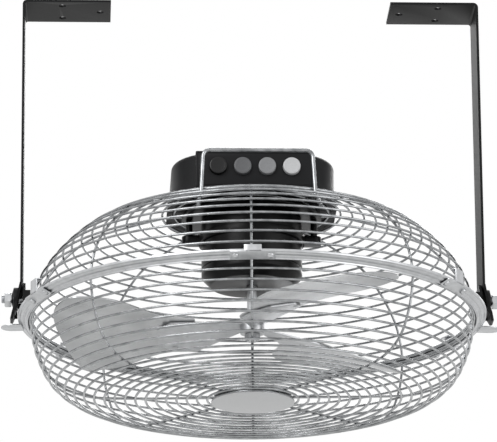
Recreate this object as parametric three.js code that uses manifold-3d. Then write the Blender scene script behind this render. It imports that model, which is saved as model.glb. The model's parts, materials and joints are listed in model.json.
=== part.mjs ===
// A wire-cage fan that hangs below a ceiling between two strip brackets. Millimetres, +Z up.
// The origin lies midway between the two bracket feet, on the ceiling that they are screwed to.
import * as THREE from 'three';
import { mergeVertices } from 'three/addons/utils/BufferGeometryUtils.js';
import Module from 'manifold-3d';

const wasm = await Module();
wasm.setup();

// Driving dimensions
const clearance = 0.3;          // between pieces that touch
const overrun = 5;              // how far a cutter runs past what it cuts
const ringRadius = 280;         // outer edge of the clamp ring
const pivotDrop = 369;          // from the ceiling down to the tilt axis
const ringDrop = 24;            // from the tilt axis down to the middle of the clamp ring
const frontDepth = 99;          // from the ring down to the flat of the front guard
const rearHeight = 131;         // from the ring up to the flat of the rear guard
const wireRadius = 1.5;
const frontRings = 24;          // wires round the front guard, with its rim
const rearRings = 19;
const outerShare = 0.86;       // rings outside this share of the cage radius get more facets
const ribCount = 8;
const ribTurn = THREE.MathUtils.degToRad(-2.6);
const bladeCount = 3;
const buttonCount = 4;

const strip = {
  width: 70, thickness: 3, footLength: 107, bendRadius: 6, inset: 6, kneeRise: 12, tailDrop: 27,
  lean: THREE.MathUtils.degToRad(17), shoulderRise: 10, waistDrop: 8, waistHalf: 19, tipHalf: 11, cheekDrop: 19,
  cheekRise: 9,
};
const footHole = { radius: 4.4, spread: 42, pairInset: 48, singleInset: 94 };
const stud = { radius: 5, reach: 19.6, headRadius: 10, headHeight: 4, chamfer: 1 };
const bush = { radius: 14, rimDrop: 2.5, reach: 6.7 };
const nut = { flats: 17, height: 8 };
const pivotPlate = { halfWidth: 30, thickness: 3, rise: 15, chamfer: 12, returnDepth: 6, returnDrop: 14 };
const band = {
  wall: 1.6, wallHalf: 6.2, width: 12.4, slope: THREE.MathUtils.degToRad(24), start: 3.6, lip: 2.6,
};
const rimWire = { radius: 2.5 };
const clip = {
  plateHalf: 26, thickness: 1.5, tabHalf: 9, tabRise: 13, hook: 6, rivetSpread: 40, rivetRadius: 4.4,
  rivetHeight: 1.6, frontTabHalf: 10, frontTabRise: 4,
};
const clipAngles = [-92.3, -33.5, 28, 86, 143, 202.5];
const tiltTab = { halfWidth: 13, reach: 22, thickness: 1.6, offset: 29, underlap: 4 };
const badge = { radius: 49.5, crown: 2.4, rim: 2, studRadius: 6, clampRadius: 46, clampThickness: 2 };
const motor = {
  radius: 60.5, wall: 2.5, height: 82, bellHeight: 20, bellInset: 10.5, bellStraight: 9,
  floor: 3, lid: 3,
};
const stator = { gap: 0.5, height: 34, bore: 30 };
const winding = { outer: 52, inner: 35, height: 9 };
const bearing = { outer: 14, height: 8 };
const boss = { wall: 3, height: 9 };
const shaft = { radius: 6, tail: 2 };
const yoke = { low: 93, height: 10, wall: 3, reach: 84, half: 9, postRadius: 4, postInset: 9 };
const throughBolt = { radius: 2.5, headRadius: 4.5, headHeight: 3, circle: 45, count: 4 };
const hub = { radius: 14.5, height: 24, top: 20, level: -14, nutFlats: 16, nutHeight: 7 };
const arm = { half: 34, offset: 20, inner: 12, outer: 114, thickness: 2.5 };
const blade = {
  tip: 236, root: 68, rootLead: 20, rootTrail: 54, lead: 84, trail: 96, bulgeRadius: 204, thickness: 1.6,
  camber: 6.5, pitch: THREE.MathUtils.degToRad(12.9), shoulder: 214, sweep: -25,
};
const bladeAzimuth = 176;
const rivet = { radius: 2.5, headRadius: 4.5, headHeight: 1.2 };
const rivetPlaces = [[-5, 103], [20, 82], [46, 94]];
const mountPlate = { radius: 84, thickness: 3, wireHole: 16 };
const basePlate = { thickness: 3, wireHole: 16 };
const cover = { half: 97.5, corner: 58.8, height: 47, wall: 2.6, edge: 7, flare: 4.5, flareHeight: 15 };
const panel = { half: 70, height: 45, reach: 7, wall: 2.6 };
const button = { radius: 10.4, spacing: 29, proud: 5.5, travel: 4, rise: 25.5, skirt: 1.6, skirtHeight: 2 };
const switchBlock = { half: 56, depth: 24, height: 24, gap: 7 };
const capacitor = { half: 22, depth: 20, height: 24, y: 60, x: 42 };
const terminal = { half: 14, depth: 18, height: 16, y: 58, x: -42 };
const gland = { radius: 8, flange: 11, reach: 13, bore: 4, rise: 29, seat: 3 };
const handle = {
  radius: 2.35, half: 66.5, rise: 49, bend: 9, inward: 3, splay: 4, footShare: 0.742, tailShare: 0.86,
  sink: 2.4,
};
const coverScrew = { radius: 2, headRadius: 4, headHeight: 2.2, inset: 17, depth: 9 };

const facetCount = { band: 48, wire: 24, innerWire: 16, round: 28, smallRound: 16, tiny: 8, corner: 5 };

// Derived places
const armInner = ringRadius - strip.inset;
const armOuter = armInner + strip.thickness;
const cageRadius = ringRadius - band.width - rimWire.radius - clearance;
const guardHole = badge.radius - wireRadius * 5;
const plateOuter = armInner - clearance;
const baseBottom = rearHeight + wireRadius + clearance;
const baseTop = baseBottom + basePlate.thickness;
const ribOffset = wireRadius * 1.7;
const mountTop = rearHeight - ribOffset - wireRadius - clearance;
const mountBottom = mountTop - mountPlate.thickness;
const motorTop = mountBottom - clearance;
const motorBottom = motorTop - motor.height;

// Colours and finishes
const finish = (color, roughness, metalness) => new THREE.MeshStandardMaterial({
  color, roughness, metalness, flatShading: true,
});
const blackPaint = () => finish(0x17171a, 0.5, 0.1);
const chrome = () => finish(0xc9cbce, 0.25, 1);
const zinc = () => finish(0xb9bcc0, 0.35, 0.9);
const aluminium = () => finish(0xc4c6c9, 0.4, 0.9);
const blackPlastic = () => finish(0x1d1e20, 0.6, 0);
const darkPaint = () => finish(0x101113, 0.45, 0.2);

// Six times the volume that the triangles enclose; negative when they face inwards
function signedVolume(position, faces) {
  const corner = (i) => new THREE.Vector3().fromArray(position, faces[i] * 3);
  let volume = 0;
  for (let i = 0; i < faces.length; i += 3) volume += corner(i).dot(corner(i + 1).cross(corner(i + 2)));
  return volume;
}

function solidOf(geometry) {
  const bare = geometry.clone();
  bare.deleteAttribute('normal');
  bare.deleteAttribute('uv');
  const merged = mergeVertices(bare);
  const position = merged.attributes.position.array;
  const index = merged.index.array;
  const faces = [];
  for (let i = 0; i < index.length; i += 3) {
    const [a, b, c] = [index[i], index[i + 1], index[i + 2]];
    if (a !== b && b !== c && c !== a) faces.push(a, b, c);
  }
  if (signedVolume(position, faces) < 0) faces.reverse();
  return new wasm.Manifold(new wasm.Mesh({
    numProp: 3,
    vertProperties: position,
    triVerts: new Uint32Array(faces),
  }));
}

function geometryOf(solid) {
  const mesh = solid.getMesh();
  const geometry = new THREE.BufferGeometry();
  geometry.setAttribute('position', new THREE.BufferAttribute(mesh.vertProperties, 3));
  geometry.setIndex(new THREE.BufferAttribute(mesh.triVerts, 1));
  geometry.computeVertexNormals();
  return geometry;
}

function join(...geometries) {
  return geometryOf(geometries.map(solidOf).reduce((whole, piece) => whole.add(piece)));
}

function cut(geometry, ...cutters) {
  return geometryOf(cutters.map(solidOf).reduce((whole, cutter) => whole.subtract(cutter), solidOf(geometry)));
}

function common(first, second) {
  return geometryOf(solidOf(first).intersect(solidOf(second)));
}

// A profile of [radius, height] points turned about Z
function turned(points, segments, start = 0) {
  const profile = points.map(([r, z]) => new THREE.Vector2(r, z));
  if (points[0][0] > 0) profile.push(profile[0].clone());
  return new THREE.LatheGeometry(profile, segments, start).rotateX(Math.PI / 2);
}

const rod = (radius, low, high, segments = facetCount.smallRound) => turned(
  [[0, low], [radius, low], [radius, high], [0, high]], segments);
const washer = (inner, outer, low, high, segments = facetCount.smallRound) => turned(
  [[inner, low], [outer, low], [outer, high], [inner, high]], segments);

// An outline of [x, z] points pushed along Y, centred on the XZ plane
function slab(points, width) {
  const shape = new THREE.Shape(points.map(([x, z]) => new THREE.Vector2(x, z)));
  return new THREE.ExtrudeGeometry(shape, { depth: width, bevelEnabled: false })
    .rotateX(Math.PI / 2).translate(0, width / 2, 0);
}

// An outline of [y, z] points pushed along X from low to high
function sidePlate(points, low, high) {
  return slab(points, high - low).rotateZ(Math.PI / 2).translate((low + high) / 2, 0, 0);
}

// A flat shape pushed up along Z from low to high
const prism = (shape, low, high, curveSegments = facetCount.tiny) => new THREE.ExtrudeGeometry(
  shape, { depth: high - low, bevelEnabled: false, curveSegments }).translate(0, 0, low);

const alongX = (geometry) => geometry.rotateY(Math.PI / 2);
const alongY = (geometry) => geometry.rotateX(Math.PI / 2);

function hexagon(flats, bore, low, high) {
  const corner = flats / Math.sqrt(3);
  const blank = new THREE.CylinderGeometry(corner, corner, high - low, 6)
    .rotateX(Math.PI / 2).translate(0, 0, (low + high) / 2);
  return bore > 0 ? cut(blank, rod(bore, low - overrun, high + overrun)) : blank;
}

function roundedSquare(half, corner) {
  const shape = new THREE.Shape();
  const flat = half - corner;
  const quarter = Math.PI / 2;
  [[1, 1], [-1, 1], [-1, -1], [1, -1]].forEach(([sx, sy], i) => {
    shape.absarc(sx * flat, sy * flat, corner, i * quarter, (i + 1) * quarter, false);
  });
  return shape;
}

const model = new THREE.Group();
const fanHead = new THREE.Group();
fanHead.position.z = -pivotDrop;
const cage = new THREE.Group();
cage.position.z = -ringDrop;
model.add(fanHead);
fanHead.add(cage);

function add(parent, name, geometry, material) {
  const mesh = new THREE.Mesh(geometryOf(solidOf(geometry)), material);
  mesh.name = name;
  parent.add(mesh);
  return mesh;
}

// Both sides of a piece that sits on the tilt axis: the left one is the right one turned half round
function addPair(parent, name, geometry, material) {
  add(parent, `right_${name}`, geometry, material());
  add(parent, `left_${name}`, geometry, material()).rotation.z = Math.PI;
}

// Strip brackets
function leanAt(height) {
  return Math.max(0, strip.kneeRise - height) * Math.tan(strip.lean);
}

// A narrow side of the leaning ear: it fills the wedge towards the ring and stops short of the ring's sweep
function earCheek(outer) {
  const edge = ringRadius + clearance * 2;
  const within = (drop) => armInner + strip.thickness / 2 + leanAt(-drop);
  return slab([
    [within(-strip.cheekRise), -pivotDrop + strip.cheekRise], [armInner, -pivotDrop + strip.cheekRise],
    [armInner, -pivotDrop], [edge, -pivotDrop - strip.waistDrop - clearance],
    [edge, -pivotDrop - strip.cheekDrop], [within(strip.cheekDrop), -pivotDrop - strip.cheekDrop],
  ], strip.thickness).translate(0, outer - strip.thickness / 2, 0);
}

function bracketGeometry() {
  const knee = -pivotDrop + strip.kneeRise;
  const mitre = (strip.thickness / 2) * Math.tan(strip.lean / 2);
  const tail = -pivotDrop - strip.tailDrop;
  const lean = leanAt(-strip.tailDrop);
  const toe = armOuter - strip.footLength;
  const outline = new THREE.Shape();
  outline.moveTo(toe, 0);
  outline.lineTo(toe, -strip.thickness);
  outline.absarc(armOuter - strip.bendRadius, -strip.bendRadius, strip.bendRadius - strip.thickness,
    Math.PI / 2, 0, true);
  outline.lineTo(armInner, knee - mitre);
  outline.lineTo(armInner + lean, tail);
  outline.lineTo(armOuter + lean, tail);
  outline.lineTo(armOuter, knee + mitre);
  outline.absarc(armOuter - strip.bendRadius, -strip.bendRadius, strip.bendRadius, 0, Math.PI / 2, false);
  const folded = slab(outline.getPoints(3).map((p) => [p.x, p.y]), strip.width);
  const half = strip.width / 2;
  const side = [
    [half, -pivotDrop + strip.shoulderRise], [half, overrun], [-half, overrun],
    [-half, -pivotDrop + strip.shoulderRise], [-strip.waistHalf, -pivotDrop - strip.waistDrop],
    [-strip.waistHalf, -pivotDrop - strip.cheekDrop], [-strip.tipHalf, tail],
    [strip.tipHalf, tail], [strip.waistHalf, -pivotDrop - strip.cheekDrop],
    [strip.waistHalf, -pivotDrop - strip.waistDrop],
  ];
  const trimmed = join(common(folded, sidePlate(side, toe - overrun, armOuter + lean + overrun)),
    earCheek(strip.waistHalf), earCheek(-strip.waistHalf + strip.thickness));
  const pivotHole = alongX(rod(stud.radius + clearance, armInner - overrun, armOuter + lean + overrun))
    .translate(0, 0, -pivotDrop);
  const screwHole = (x, y) => rod(footHole.radius, -strip.thickness - overrun, overrun).translate(x, y, 0);
  return cut(trimmed, pivotHole,
    screwHole(armOuter - footHole.pairInset, footHole.spread / 2),
    screwHole(armOuter - footHole.pairInset, -footHole.spread / 2),
    screwHole(armOuter - footHole.singleInset, 0));
}

// Wedge washer: it levels the leaning ear so that the nut seats square to the axis
const bushFace = armOuter + leanAt(0) + bush.reach;

function bushGeometry() {
  const face = bushFace;
  const blank = alongX(turned([
    [stud.radius + clearance, armInner], [bush.radius, armInner], [bush.radius, face - bush.rimDrop * 2],
    [bush.radius - bush.rimDrop / 2, face - bush.rimDrop / 2], [bush.radius - bush.rimDrop, face],
    [stud.radius + clearance, face],
  ], facetCount.smallRound));
  const back = armOuter + clearance / Math.cos(strip.lean);
  const reach = bush.radius + overrun;
  const ear = slab([
    [armInner - overrun, reach], [back, reach], [back, strip.kneeRise],
    [back + leanAt(-reach), -reach], [armInner - overrun, -reach],
  ], reach * 2);
  return cut(blank, ear).translate(0, 0, -pivotDrop);
}

addPair(model, 'bracket', bracketGeometry(), blackPaint);
addPair(model, 'pivot_bush', bushGeometry(), blackPlastic);

// Pivot hardware on the fan head
function studGeometry() {
  const head = plateOuter - pivotPlate.thickness - clearance;
  return alongX(turned([
    [0, head - stud.headHeight], [stud.headRadius * 0.7, head - stud.headHeight],
    [stud.headRadius, head - stud.headHeight / 2], [stud.headRadius, head], [stud.radius, head],
    [stud.radius, ringRadius + stud.reach - stud.chamfer],
    [stud.radius - stud.chamfer, ringRadius + stud.reach],
    [0, ringRadius + stud.reach],
  ], facetCount.smallRound));
}

function nutGeometry() {
  const start = bushFace + clearance;
  return alongX(hexagon(nut.flats, stud.radius + clearance, start, start + nut.height));
}

// Height of the clamp ring's upper face at a radius, above the middle of the ring
function bandTop(radius) {
  const run = radius - (ringRadius - band.width + band.wall);
  return -band.start + band.wall / 2 / Math.cos(band.slope) + run * Math.tan(band.slope);
}

function pivotPlateGeometry() {
  const { halfWidth, thickness, rise, chamfer, returnDepth, returnDrop } = pivotPlate;
  const foot = -ringDrop - overrun;
  const web = sidePlate([
    [-halfWidth, foot], [halfWidth, foot], [halfWidth, rise - chamfer], [halfWidth - chamfer, rise],
    [-halfWidth + chamfer, rise], [-halfWidth, rise - chamfer],
  ], plateOuter - thickness, plateOuter);
  const flank = (y) => new THREE.BoxGeometry(returnDepth + thickness, thickness, returnDrop)
    .translate(plateOuter - (returnDepth + thickness) / 2, y, rise - chamfer - returnDrop / 2);
  const whole = join(web, flank(halfWidth - thickness / 2), flank(-halfWidth + thickness / 2));
  const low = ringRadius - band.width - overrun;
  const high = ringRadius + overrun;
  const seatGap = clearance / Math.cos(band.slope);
  const seat = turned([
    [low, foot - overrun], [high, foot - overrun],
    [high, bandTop(high) + seatGap - ringDrop],
    [low + overrun, bandTop(low + overrun) + seatGap - ringDrop],
    [low + overrun, band.wallHalf + clearance - ringDrop], [low, band.wallHalf + clearance - ringDrop],
  ], facetCount.band);
  return cut(whole, seat, alongX(rod(stud.radius + clearance, low - overrun, high + overrun)));
}

addPair(fanHead, 'pivot_stud', studGeometry(), zinc);
addPair(fanHead, 'pivot_nut', nutGeometry(), zinc);
addPair(fanHead, 'pivot_plate', pivotPlateGeometry(), blackPaint);

// Clamp ring: an upright wall round the two rim wires and a sloping flange with a small lip
function clampRingGeometry() {
  const inner = ringRadius - band.width;
  const rise = (band.width - band.wall) * Math.tan(band.slope);
  const skin = band.wall / Math.cos(band.slope);
  const root = -band.start - skin / 2;
  return turned([
    [inner, -band.wallHalf], [inner + band.wall, -band.wallHalf], [inner + band.wall, root],
    [ringRadius, root + rise], [ringRadius, root + rise + band.lip],
    [ringRadius - band.wall, root + rise + band.lip],
    [ringRadius - band.wall, root + rise + skin - band.wall * Math.tan(band.slope)],
    [inner + band.wall, root + skin], [inner + band.wall, band.wallHalf], [inner, band.wallHalf],
  ], facetCount.band);
}

add(cage, 'clamp_ring', clampRingGeometry(), zinc());

// Guards: rings of wire at an even pitch along a curved profile, on ribs that run inside them
const frontShares = [
  [1, 0.03], [0.99, 0.24], [0.97, 0.44], [0.925, 0.69], [0.855, 0.86], [0.77, 0.95], [0.68, 0.99], [0.5, 1],
  [0.33, 1],
];
const rearShares = [
  [1, 0.02], [0.99, 0.15], [0.96, 0.33], [0.9, 0.51], [0.81, 0.69], [0.72, 0.81], [0.6, 0.89], [0.45, 0.97],
  [0.37, 1],
];

function profileCurve(shares, height, centreRadius) {
  const points = shares.map(([r, z]) => new THREE.Vector2(r * cageRadius, z * height));
  points.push(new THREE.Vector2(centreRadius, height));
  points[0].y = Math.sign(height) * (rimWire.radius + clearance / 2);
  return new THREE.SplineCurve(points);
}

// The section of a ring of wire: three flat sides, with one corner at the angle facing
function wireSection(radius, z, wire, facing) {
  return [0, 1, 2].map((side) => {
    const turn = facing + (side / 3) * Math.PI * 2;
    return [radius + Math.cos(turn) * wire, z + Math.sin(turn) * wire];
  });
}

// A ring whose straight runs have their middles at the radius, where the ribs cross them
function wireRing(radius, z, facing) {
  const segments = radius > cageRadius * outerShare ? facetCount.wire : facetCount.innerWire;
  const half = Math.PI / segments;
  return turned(wireSection(radius / Math.cos(half), z, wireRadius * 1.2, facing), segments, half);
}

// Unit vectors from each point of a guard's profile towards the inside of the cage
function inwards(points) {
  return points.map((p, i) => {
    const before = points[Math.max(0, i - 1)];
    const after = points[Math.min(points.length - 1, i + 1)];
    const along = new THREE.Vector2().subVectors(after, before).normalize();
    const inward = new THREE.Vector2(along.y, -along.x);
    return inward.dot(p) > 0 ? inward.negate() : inward;
  });
}

// A rib with three flat sides: the edge along near faces the rings, the flat side lies along far
function ribStrip(near, far, half) {
  const positions = near.flatMap(([x, z], i) => [
    x, 0, z, far[i][0], -half, far[i][1], far[i][0], half, far[i][1],
  ]);
  const faces = [];
  const last = (near.length - 1) * 3;
  for (let row = 0; row < last; row += 3) {
    for (let side = 0; side < 3; side += 1) {
      const [a, b] = [row + side, row + ((side + 1) % 3)];
      faces.push(a, b, a + 3, b, b + 3, a + 3);
    }
  }
  faces.push(0, 2, 1, last, last + 1, last + 2);
  const rib = new THREE.BufferGeometry();
  rib.setAttribute('position', new THREE.Float32BufferAttribute(positions, 3));
  return rib.setIndex(faces);
}

function guardGeometry(curve, ringCount, centreRadius) {
  const points = curve.getSpacedPoints(ringCount - 1);
  const normals = inwards(points);
  const last = points.length - 1;
  const rings = points.slice(1).map((p, i) => wireRing(p.x, p.y, normals[i + 1].angle()));
  const rim = turned(wireSection(points[0].x + rimWire.radius / 2, points[0].y, rimWire.radius, Math.PI),
    facetCount.band);
  const rail = (distance) => points.map((p, i) => {
    const z = p.y + normals[i].y * distance;
    if (i === 0) return [cageRadius - distance + wireRadius, p.y];
    return [i === last ? centreRadius - wireRadius : p.x + normals[i].x * distance, z];
  });
  const rib = ribStrip(rail(wireRadius / 2), rail(ribOffset + wireRadius), wireRadius * 1.2);
  const ribs = [];
  for (let i = 0; i < ribCount; i += 1) ribs.push(rib.clone().rotateZ((i / ribCount) * Math.PI * 2 + ribTurn));
  return join(rim, ...rings, ...ribs);
}

const rearCentre = mountPlate.radius * 0.76;
const frontCurve = profileCurve(frontShares, -frontDepth, guardHole);
const rearCurve = profileCurve(rearShares, rearHeight, rearCentre);
add(cage, 'front_guard', guardGeometry(frontCurve, frontRings, guardHole), chrome());
add(cage, 'rear_guard', guardGeometry(rearCurve, rearRings, rearCentre), chrome());

// Latch clips round the ring: a riveted plate under the flange and a tab hooked over its edge
function clipGeometry(tabHalf, tabRise) {
  const start = ringRadius - band.width + band.wall + clearance;
  const skin = band.wall / Math.cos(band.slope);
  const under = (x) => -band.start - skin / 2 + (x - (start - clearance)) * Math.tan(band.slope)
    - clearance / Math.cos(band.slope);
  const drop = clip.thickness / Math.cos(band.slope);
  const edge = ringRadius + clearance;
  const plate = slab([
    [start, under(start)], [start, under(start) - drop],
    [edge + clip.thickness, under(edge + clip.thickness) - drop],
    [edge + clip.thickness, under(edge + clip.thickness)],
  ], clip.plateHalf * 2);
  const top = band.start + tabRise;
  const tab = slab([
    [edge, under(edge) - drop / 2], [edge + clip.thickness, under(edge) - drop / 2],
    [edge + clip.thickness, top], [edge - clip.hook, top], [edge - clip.hook, top - clip.thickness],
    [edge, top - clip.thickness],
  ], tabHalf * 2);
  const middle = (start + edge) / 2;
  const dome = (y) => turned([
    [0, 0], [clip.rivetRadius, 0], [clip.rivetRadius * 0.7, -clip.rivetHeight], [0, -clip.rivetHeight],
  ], facetCount.tiny).rotateY(-band.slope).translate(middle, y, under(middle) - drop + clearance / 2);
  return join(plate, tab, dome(clip.rivetSpread / 2), dome(-clip.rivetSpread / 2));
}

clipAngles.forEach((angle, i) => {
  const geometry = i === 0 ? clipGeometry(clip.frontTabHalf, clip.frontTabRise)
    : clipGeometry(clip.tabHalf, clip.tabRise);
  add(cage, `latch_clip_${i + 1}`, geometry, zinc()).rotation.z = THREE.MathUtils.degToRad(angle);
});

// Rounded tabs welded below the ring's edge, to tilt the head by hand
function tiltTabGeometry() {
  const shape = new THREE.Shape();
  const centre = ringRadius + tiltTab.reach - tiltTab.halfWidth;
  const near = ringRadius - tiltTab.underlap;
  shape.moveTo(near, -tiltTab.halfWidth);
  shape.absarc(centre, 0, tiltTab.halfWidth, -Math.PI / 2, Math.PI / 2, false);
  shape.lineTo(near, tiltTab.halfWidth);
  const flangeLow = bandTop(near) - band.wall / Math.cos(band.slope);
  const top = flangeLow - clearance;
  return prism(shape, top - tiltTab.thickness, top);
}

const tabTurn = Math.asin(tiltTab.offset / ringRadius);
add(cage, 'right_tilt_tab', tiltTabGeometry(), zinc()).rotation.z = tabTurn;
add(cage, 'left_tilt_tab', tiltTabGeometry(), zinc()).rotation.z = Math.PI - tabTurn;

// Badge disc below the front guard and the plate that clamps it to the wires
const badgeTop = -frontDepth - wireRadius * 1.2 - clearance;
const clampBottom = -frontDepth + ribOffset + wireRadius + clearance;
add(cage, 'badge_disc', turned([
  [0, clampBottom - clearance], [badge.studRadius, clampBottom - clearance], [badge.studRadius, badgeTop],
  [badge.radius, badgeTop], [badge.radius, badgeTop - badge.rim],
  [badge.radius - badge.rim, badgeTop - badge.rim - badge.crown / 4],
  [badge.radius / 2, badgeTop - badge.rim - badge.crown * 0.8], [0, badgeTop - badge.rim - badge.crown],
], facetCount.round), aluminium());
add(cage, 'badge_clamp_plate', rod(badge.clampRadius, clampBottom, clampBottom + badge.clampThickness,
  facetCount.smallRound), zinc());

// Motor
const shellLow = motorBottom + motor.bellHeight;
const bellLow = motorBottom;

function motorHousingGeometry() {
  const inner = motor.radius - motor.wall;
  const seat = bearing.outer + clearance;
  const lidLow = motorTop - motor.lid;
  return turned([
    [shaft.radius + clearance, lidLow], [seat, lidLow], [seat, lidLow - boss.height],
    [seat + boss.wall, lidLow - boss.height], [seat + boss.wall, lidLow], [inner, lidLow],
    [inner, shellLow + clearance], [motor.radius, shellLow + clearance],
    [motor.radius, motorTop - motor.wall], [motor.radius - motor.wall, motorTop],
    [shaft.radius + clearance, motorTop],
  ], facetCount.round);
}

// Bolts through the housing base, the mounting plate and the motor's lid
function boltPlaces() {
  const places = [];
  for (let i = 0; i < throughBolt.count; i += 1) {
    const turn = ((i + 0.5) / throughBolt.count) * Math.PI * 2;
    places.push([Math.cos(turn) * throughBolt.circle, Math.sin(turn) * throughBolt.circle]);
  }
  return places;
}

function boltHoles(low, high) {
  return boltPlaces().map(([x, y]) => rod(throughBolt.radius + clearance, low - overrun, high + overrun,
    facetCount.tiny).translate(x, y, 0));
}

function endBellGeometry() {
  const inner = motor.radius - motor.wall;
  const small = motor.radius - motor.bellInset;
  const seat = bearing.outer + clearance;
  const floor = bellLow + motor.floor;
  const knee = shellLow - motor.bellStraight;
  return turned([
    [shaft.radius + clearance * 2, bellLow], [small, bellLow], [motor.radius, knee], [motor.radius, shellLow],
    [inner, shellLow], [inner, knee + motor.wall], [small - motor.wall, floor],
    [seat + boss.wall, floor], [seat + boss.wall, floor + boss.height], [seat, floor + boss.height],
    [seat, floor], [shaft.radius + clearance * 2, floor],
  ], facetCount.round);
}

const coreLow = (motorBottom + motorTop - stator.height) / 2;
const coreHigh = coreLow + stator.height;
const lowerSeat = bellLow + motor.floor + clearance;
const upperSeat = motorTop - motor.lid - clearance;
add(cage, 'motor_housing', cut(motorHousingGeometry(), ...boltHoles(motorTop, motorTop)), darkPaint());
add(cage, 'motor_end_bell', endBellGeometry(), darkPaint());
add(cage, 'stator_core', washer(stator.bore, motor.radius - motor.wall - clearance, coreLow, coreHigh,
  facetCount.round),
  finish(0x6d7074, 0.6, 0.7));
add(cage, 'upper_winding', washer(winding.inner, winding.outer, coreHigh + clearance,
  coreHigh + clearance + winding.height), finish(0xa4592a, 0.5, 0.6));
add(cage, 'lower_winding', washer(winding.inner, winding.outer, coreLow - clearance - winding.height,
  coreLow - clearance), finish(0xa4592a, 0.5, 0.6));
const bearingRing = (low) => washer(shaft.radius + clearance, bearing.outer, low, low + bearing.height);
add(cage, 'lower_bearing', bearingRing(lowerSeat), zinc());
add(cage, 'upper_bearing', bearingRing(upperSeat - bearing.height), zinc());

// Motor mounting plate, under the middle of the rear guard, and the yoke that hangs from it
add(cage, 'motor_mount_plate', cut(
  washer(mountPlate.wireHole, mountPlate.radius, mountBottom, mountTop, facetCount.round),
  ...boltHoles(mountBottom, mountTop),
), darkPaint());

function yokeGeometry() {
  const inner = motor.radius + clearance;
  const high = yoke.low + yoke.height;
  const lug = (side) => {
    const centre = yoke.reach - yoke.half;
    const shape = new THREE.Shape();
    shape.moveTo(inner + clearance, -yoke.half);
    shape.absarc(centre, 0, yoke.half, -Math.PI / 2, Math.PI / 2, false);
    shape.lineTo(inner + clearance, yoke.half);
    const post = rod(yoke.postRadius, yoke.low + yoke.height / 2, mountBottom - clearance, facetCount.tiny);
    return join(prism(shape, yoke.low, high), post.translate(yoke.reach - yoke.postInset, 0, 0))
      .rotateZ(side);
  };
  return join(washer(inner, inner + yoke.wall, yoke.low, high, facetCount.round), lug(0), lug(Math.PI));
}
add(cage, 'motor_yoke', yokeGeometry(), darkPaint());

// Impeller: shaft with its rotor, a hub with three arms, three pressed blades and a hub nut
const hubHigh = hub.top;
const hubLow = hubHigh - hub.height;
const shaftTop = upperSeat - shaft.tail;
const shaftLow = hub.level + hubLow - hub.nutHeight - clearance - shaft.tail;
add(cage, 'rotor_shaft', join(
  rod(shaft.radius, shaftLow, shaftTop),
  rod(stator.bore - stator.gap, coreLow, coreHigh),
), finish(0x9da1a6, 0.4, 0.9));

// The pitch of a blade, turned about its own radius: the leading edge is the higher one
const pitched = (geometry) => geometry.rotateY(blade.pitch);

function camberedSheet(halfChord, low, high, sag, thickness, offset) {
  const edge = [];
  const count = 8;
  for (let i = 0; i <= count; i += 1) {
    const share = (i / count) * 2 - 1;
    edge.push([share * halfChord, offset + sag * (1 - share * share)]);
  }
  const under = edge.map(([x, z]) => [x, z - thickness]).reverse();
  return slab([...edge, ...under], high - low).translate(0, (low + high) / 2, 0);
}

function bladeOutline() {
  const shape = new THREE.Shape();
  const { tip, root, rootLead, rootTrail, lead, trail, bulgeRadius, shoulder, sweep } = blade;
  shape.moveTo(-rootLead, root);
  shape.lineTo(rootTrail, root);
  const middle = (root + bulgeRadius) / 2;
  shape.bezierCurveTo(rootTrail, middle, trail, middle, trail, bulgeRadius);
  shape.bezierCurveTo(trail, shoulder, trail / 2 + sweep, tip, sweep, tip);
  shape.bezierCurveTo(-lead / 2 + sweep, tip, -lead, shoulder, -lead, bulgeRadius);
  shape.bezierCurveTo(-lead, middle, -rootLead, middle, -rootLead, root);
  return shape;
}

const bladeChord = blade.trail + overrun;

function bladeGeometry() {
  const lift = clearance + blade.thickness;
  const sheet = camberedSheet(bladeChord, blade.root - overrun, blade.tip + overrun, blade.camber,
    blade.thickness, lift);
  const deep = blade.camber + overrun * 2;
  const trimmed = common(sheet, prism(bladeOutline(), -deep, deep, 6));
  const holes = rivetPlaces.map(([x, y]) => rod(rivet.radius + clearance, -deep, deep, facetCount.tiny)
    .translate(x, y, 0));
  return pitched(cut(trimmed, ...holes));
}

function spiderGeometry() {
  const pieces = [rod(hub.radius, hubLow, hubHigh)];
  for (let i = 0; i < bladeCount; i += 1) {
    const strap = camberedSheet(bladeChord, arm.inner, arm.outer, blade.camber, arm.thickness, 0);
    const shape = new THREE.Shape();
    shape.moveTo(-hub.radius * 0.7, 0);
    shape.lineTo(hub.radius * 0.7, 0);
    shape.lineTo(arm.offset + arm.half, blade.root);
    shape.lineTo(arm.offset + arm.half, arm.outer - arm.half / 2);
    shape.lineTo(arm.offset + arm.half / 2, arm.outer);
    shape.lineTo(arm.offset - arm.half / 2, arm.outer);
    shape.lineTo(arm.offset - arm.half, arm.outer - arm.half / 2);
    shape.lineTo(arm.offset - arm.half, blade.root);
    const deep = blade.camber + overrun * 2;
    const limb = common(strap, prism(shape, -deep, deep));
    const heads = rivetPlaces.map(([x, y]) => {
      const share = x / bladeChord;
      const floor = blade.camber * (1 - share * share);
      return turned([
        [0, floor - arm.thickness / 2], [rivet.radius, floor - arm.thickness / 2],
        [rivet.radius, floor + clearance * 3 + blade.thickness],
        [rivet.headRadius, floor + clearance * 3 + blade.thickness],
        [rivet.headRadius * 0.7, floor + clearance * 3 + blade.thickness + rivet.headHeight],
        [0, floor + clearance * 3 + blade.thickness + rivet.headHeight],
      ], facetCount.tiny).translate(x, y, 0);
    });
    pieces.push(pitched(join(limb, ...heads)).rotateZ(bladeTurn(i)));
  }
  return cut(join(...pieces), rod(shaft.radius + clearance, hubLow - overrun, hubHigh + overrun));
}

function bladeTurn(i) {
  return THREE.MathUtils.degToRad(bladeAzimuth - 90 + (i * 360) / bladeCount);
}

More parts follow.
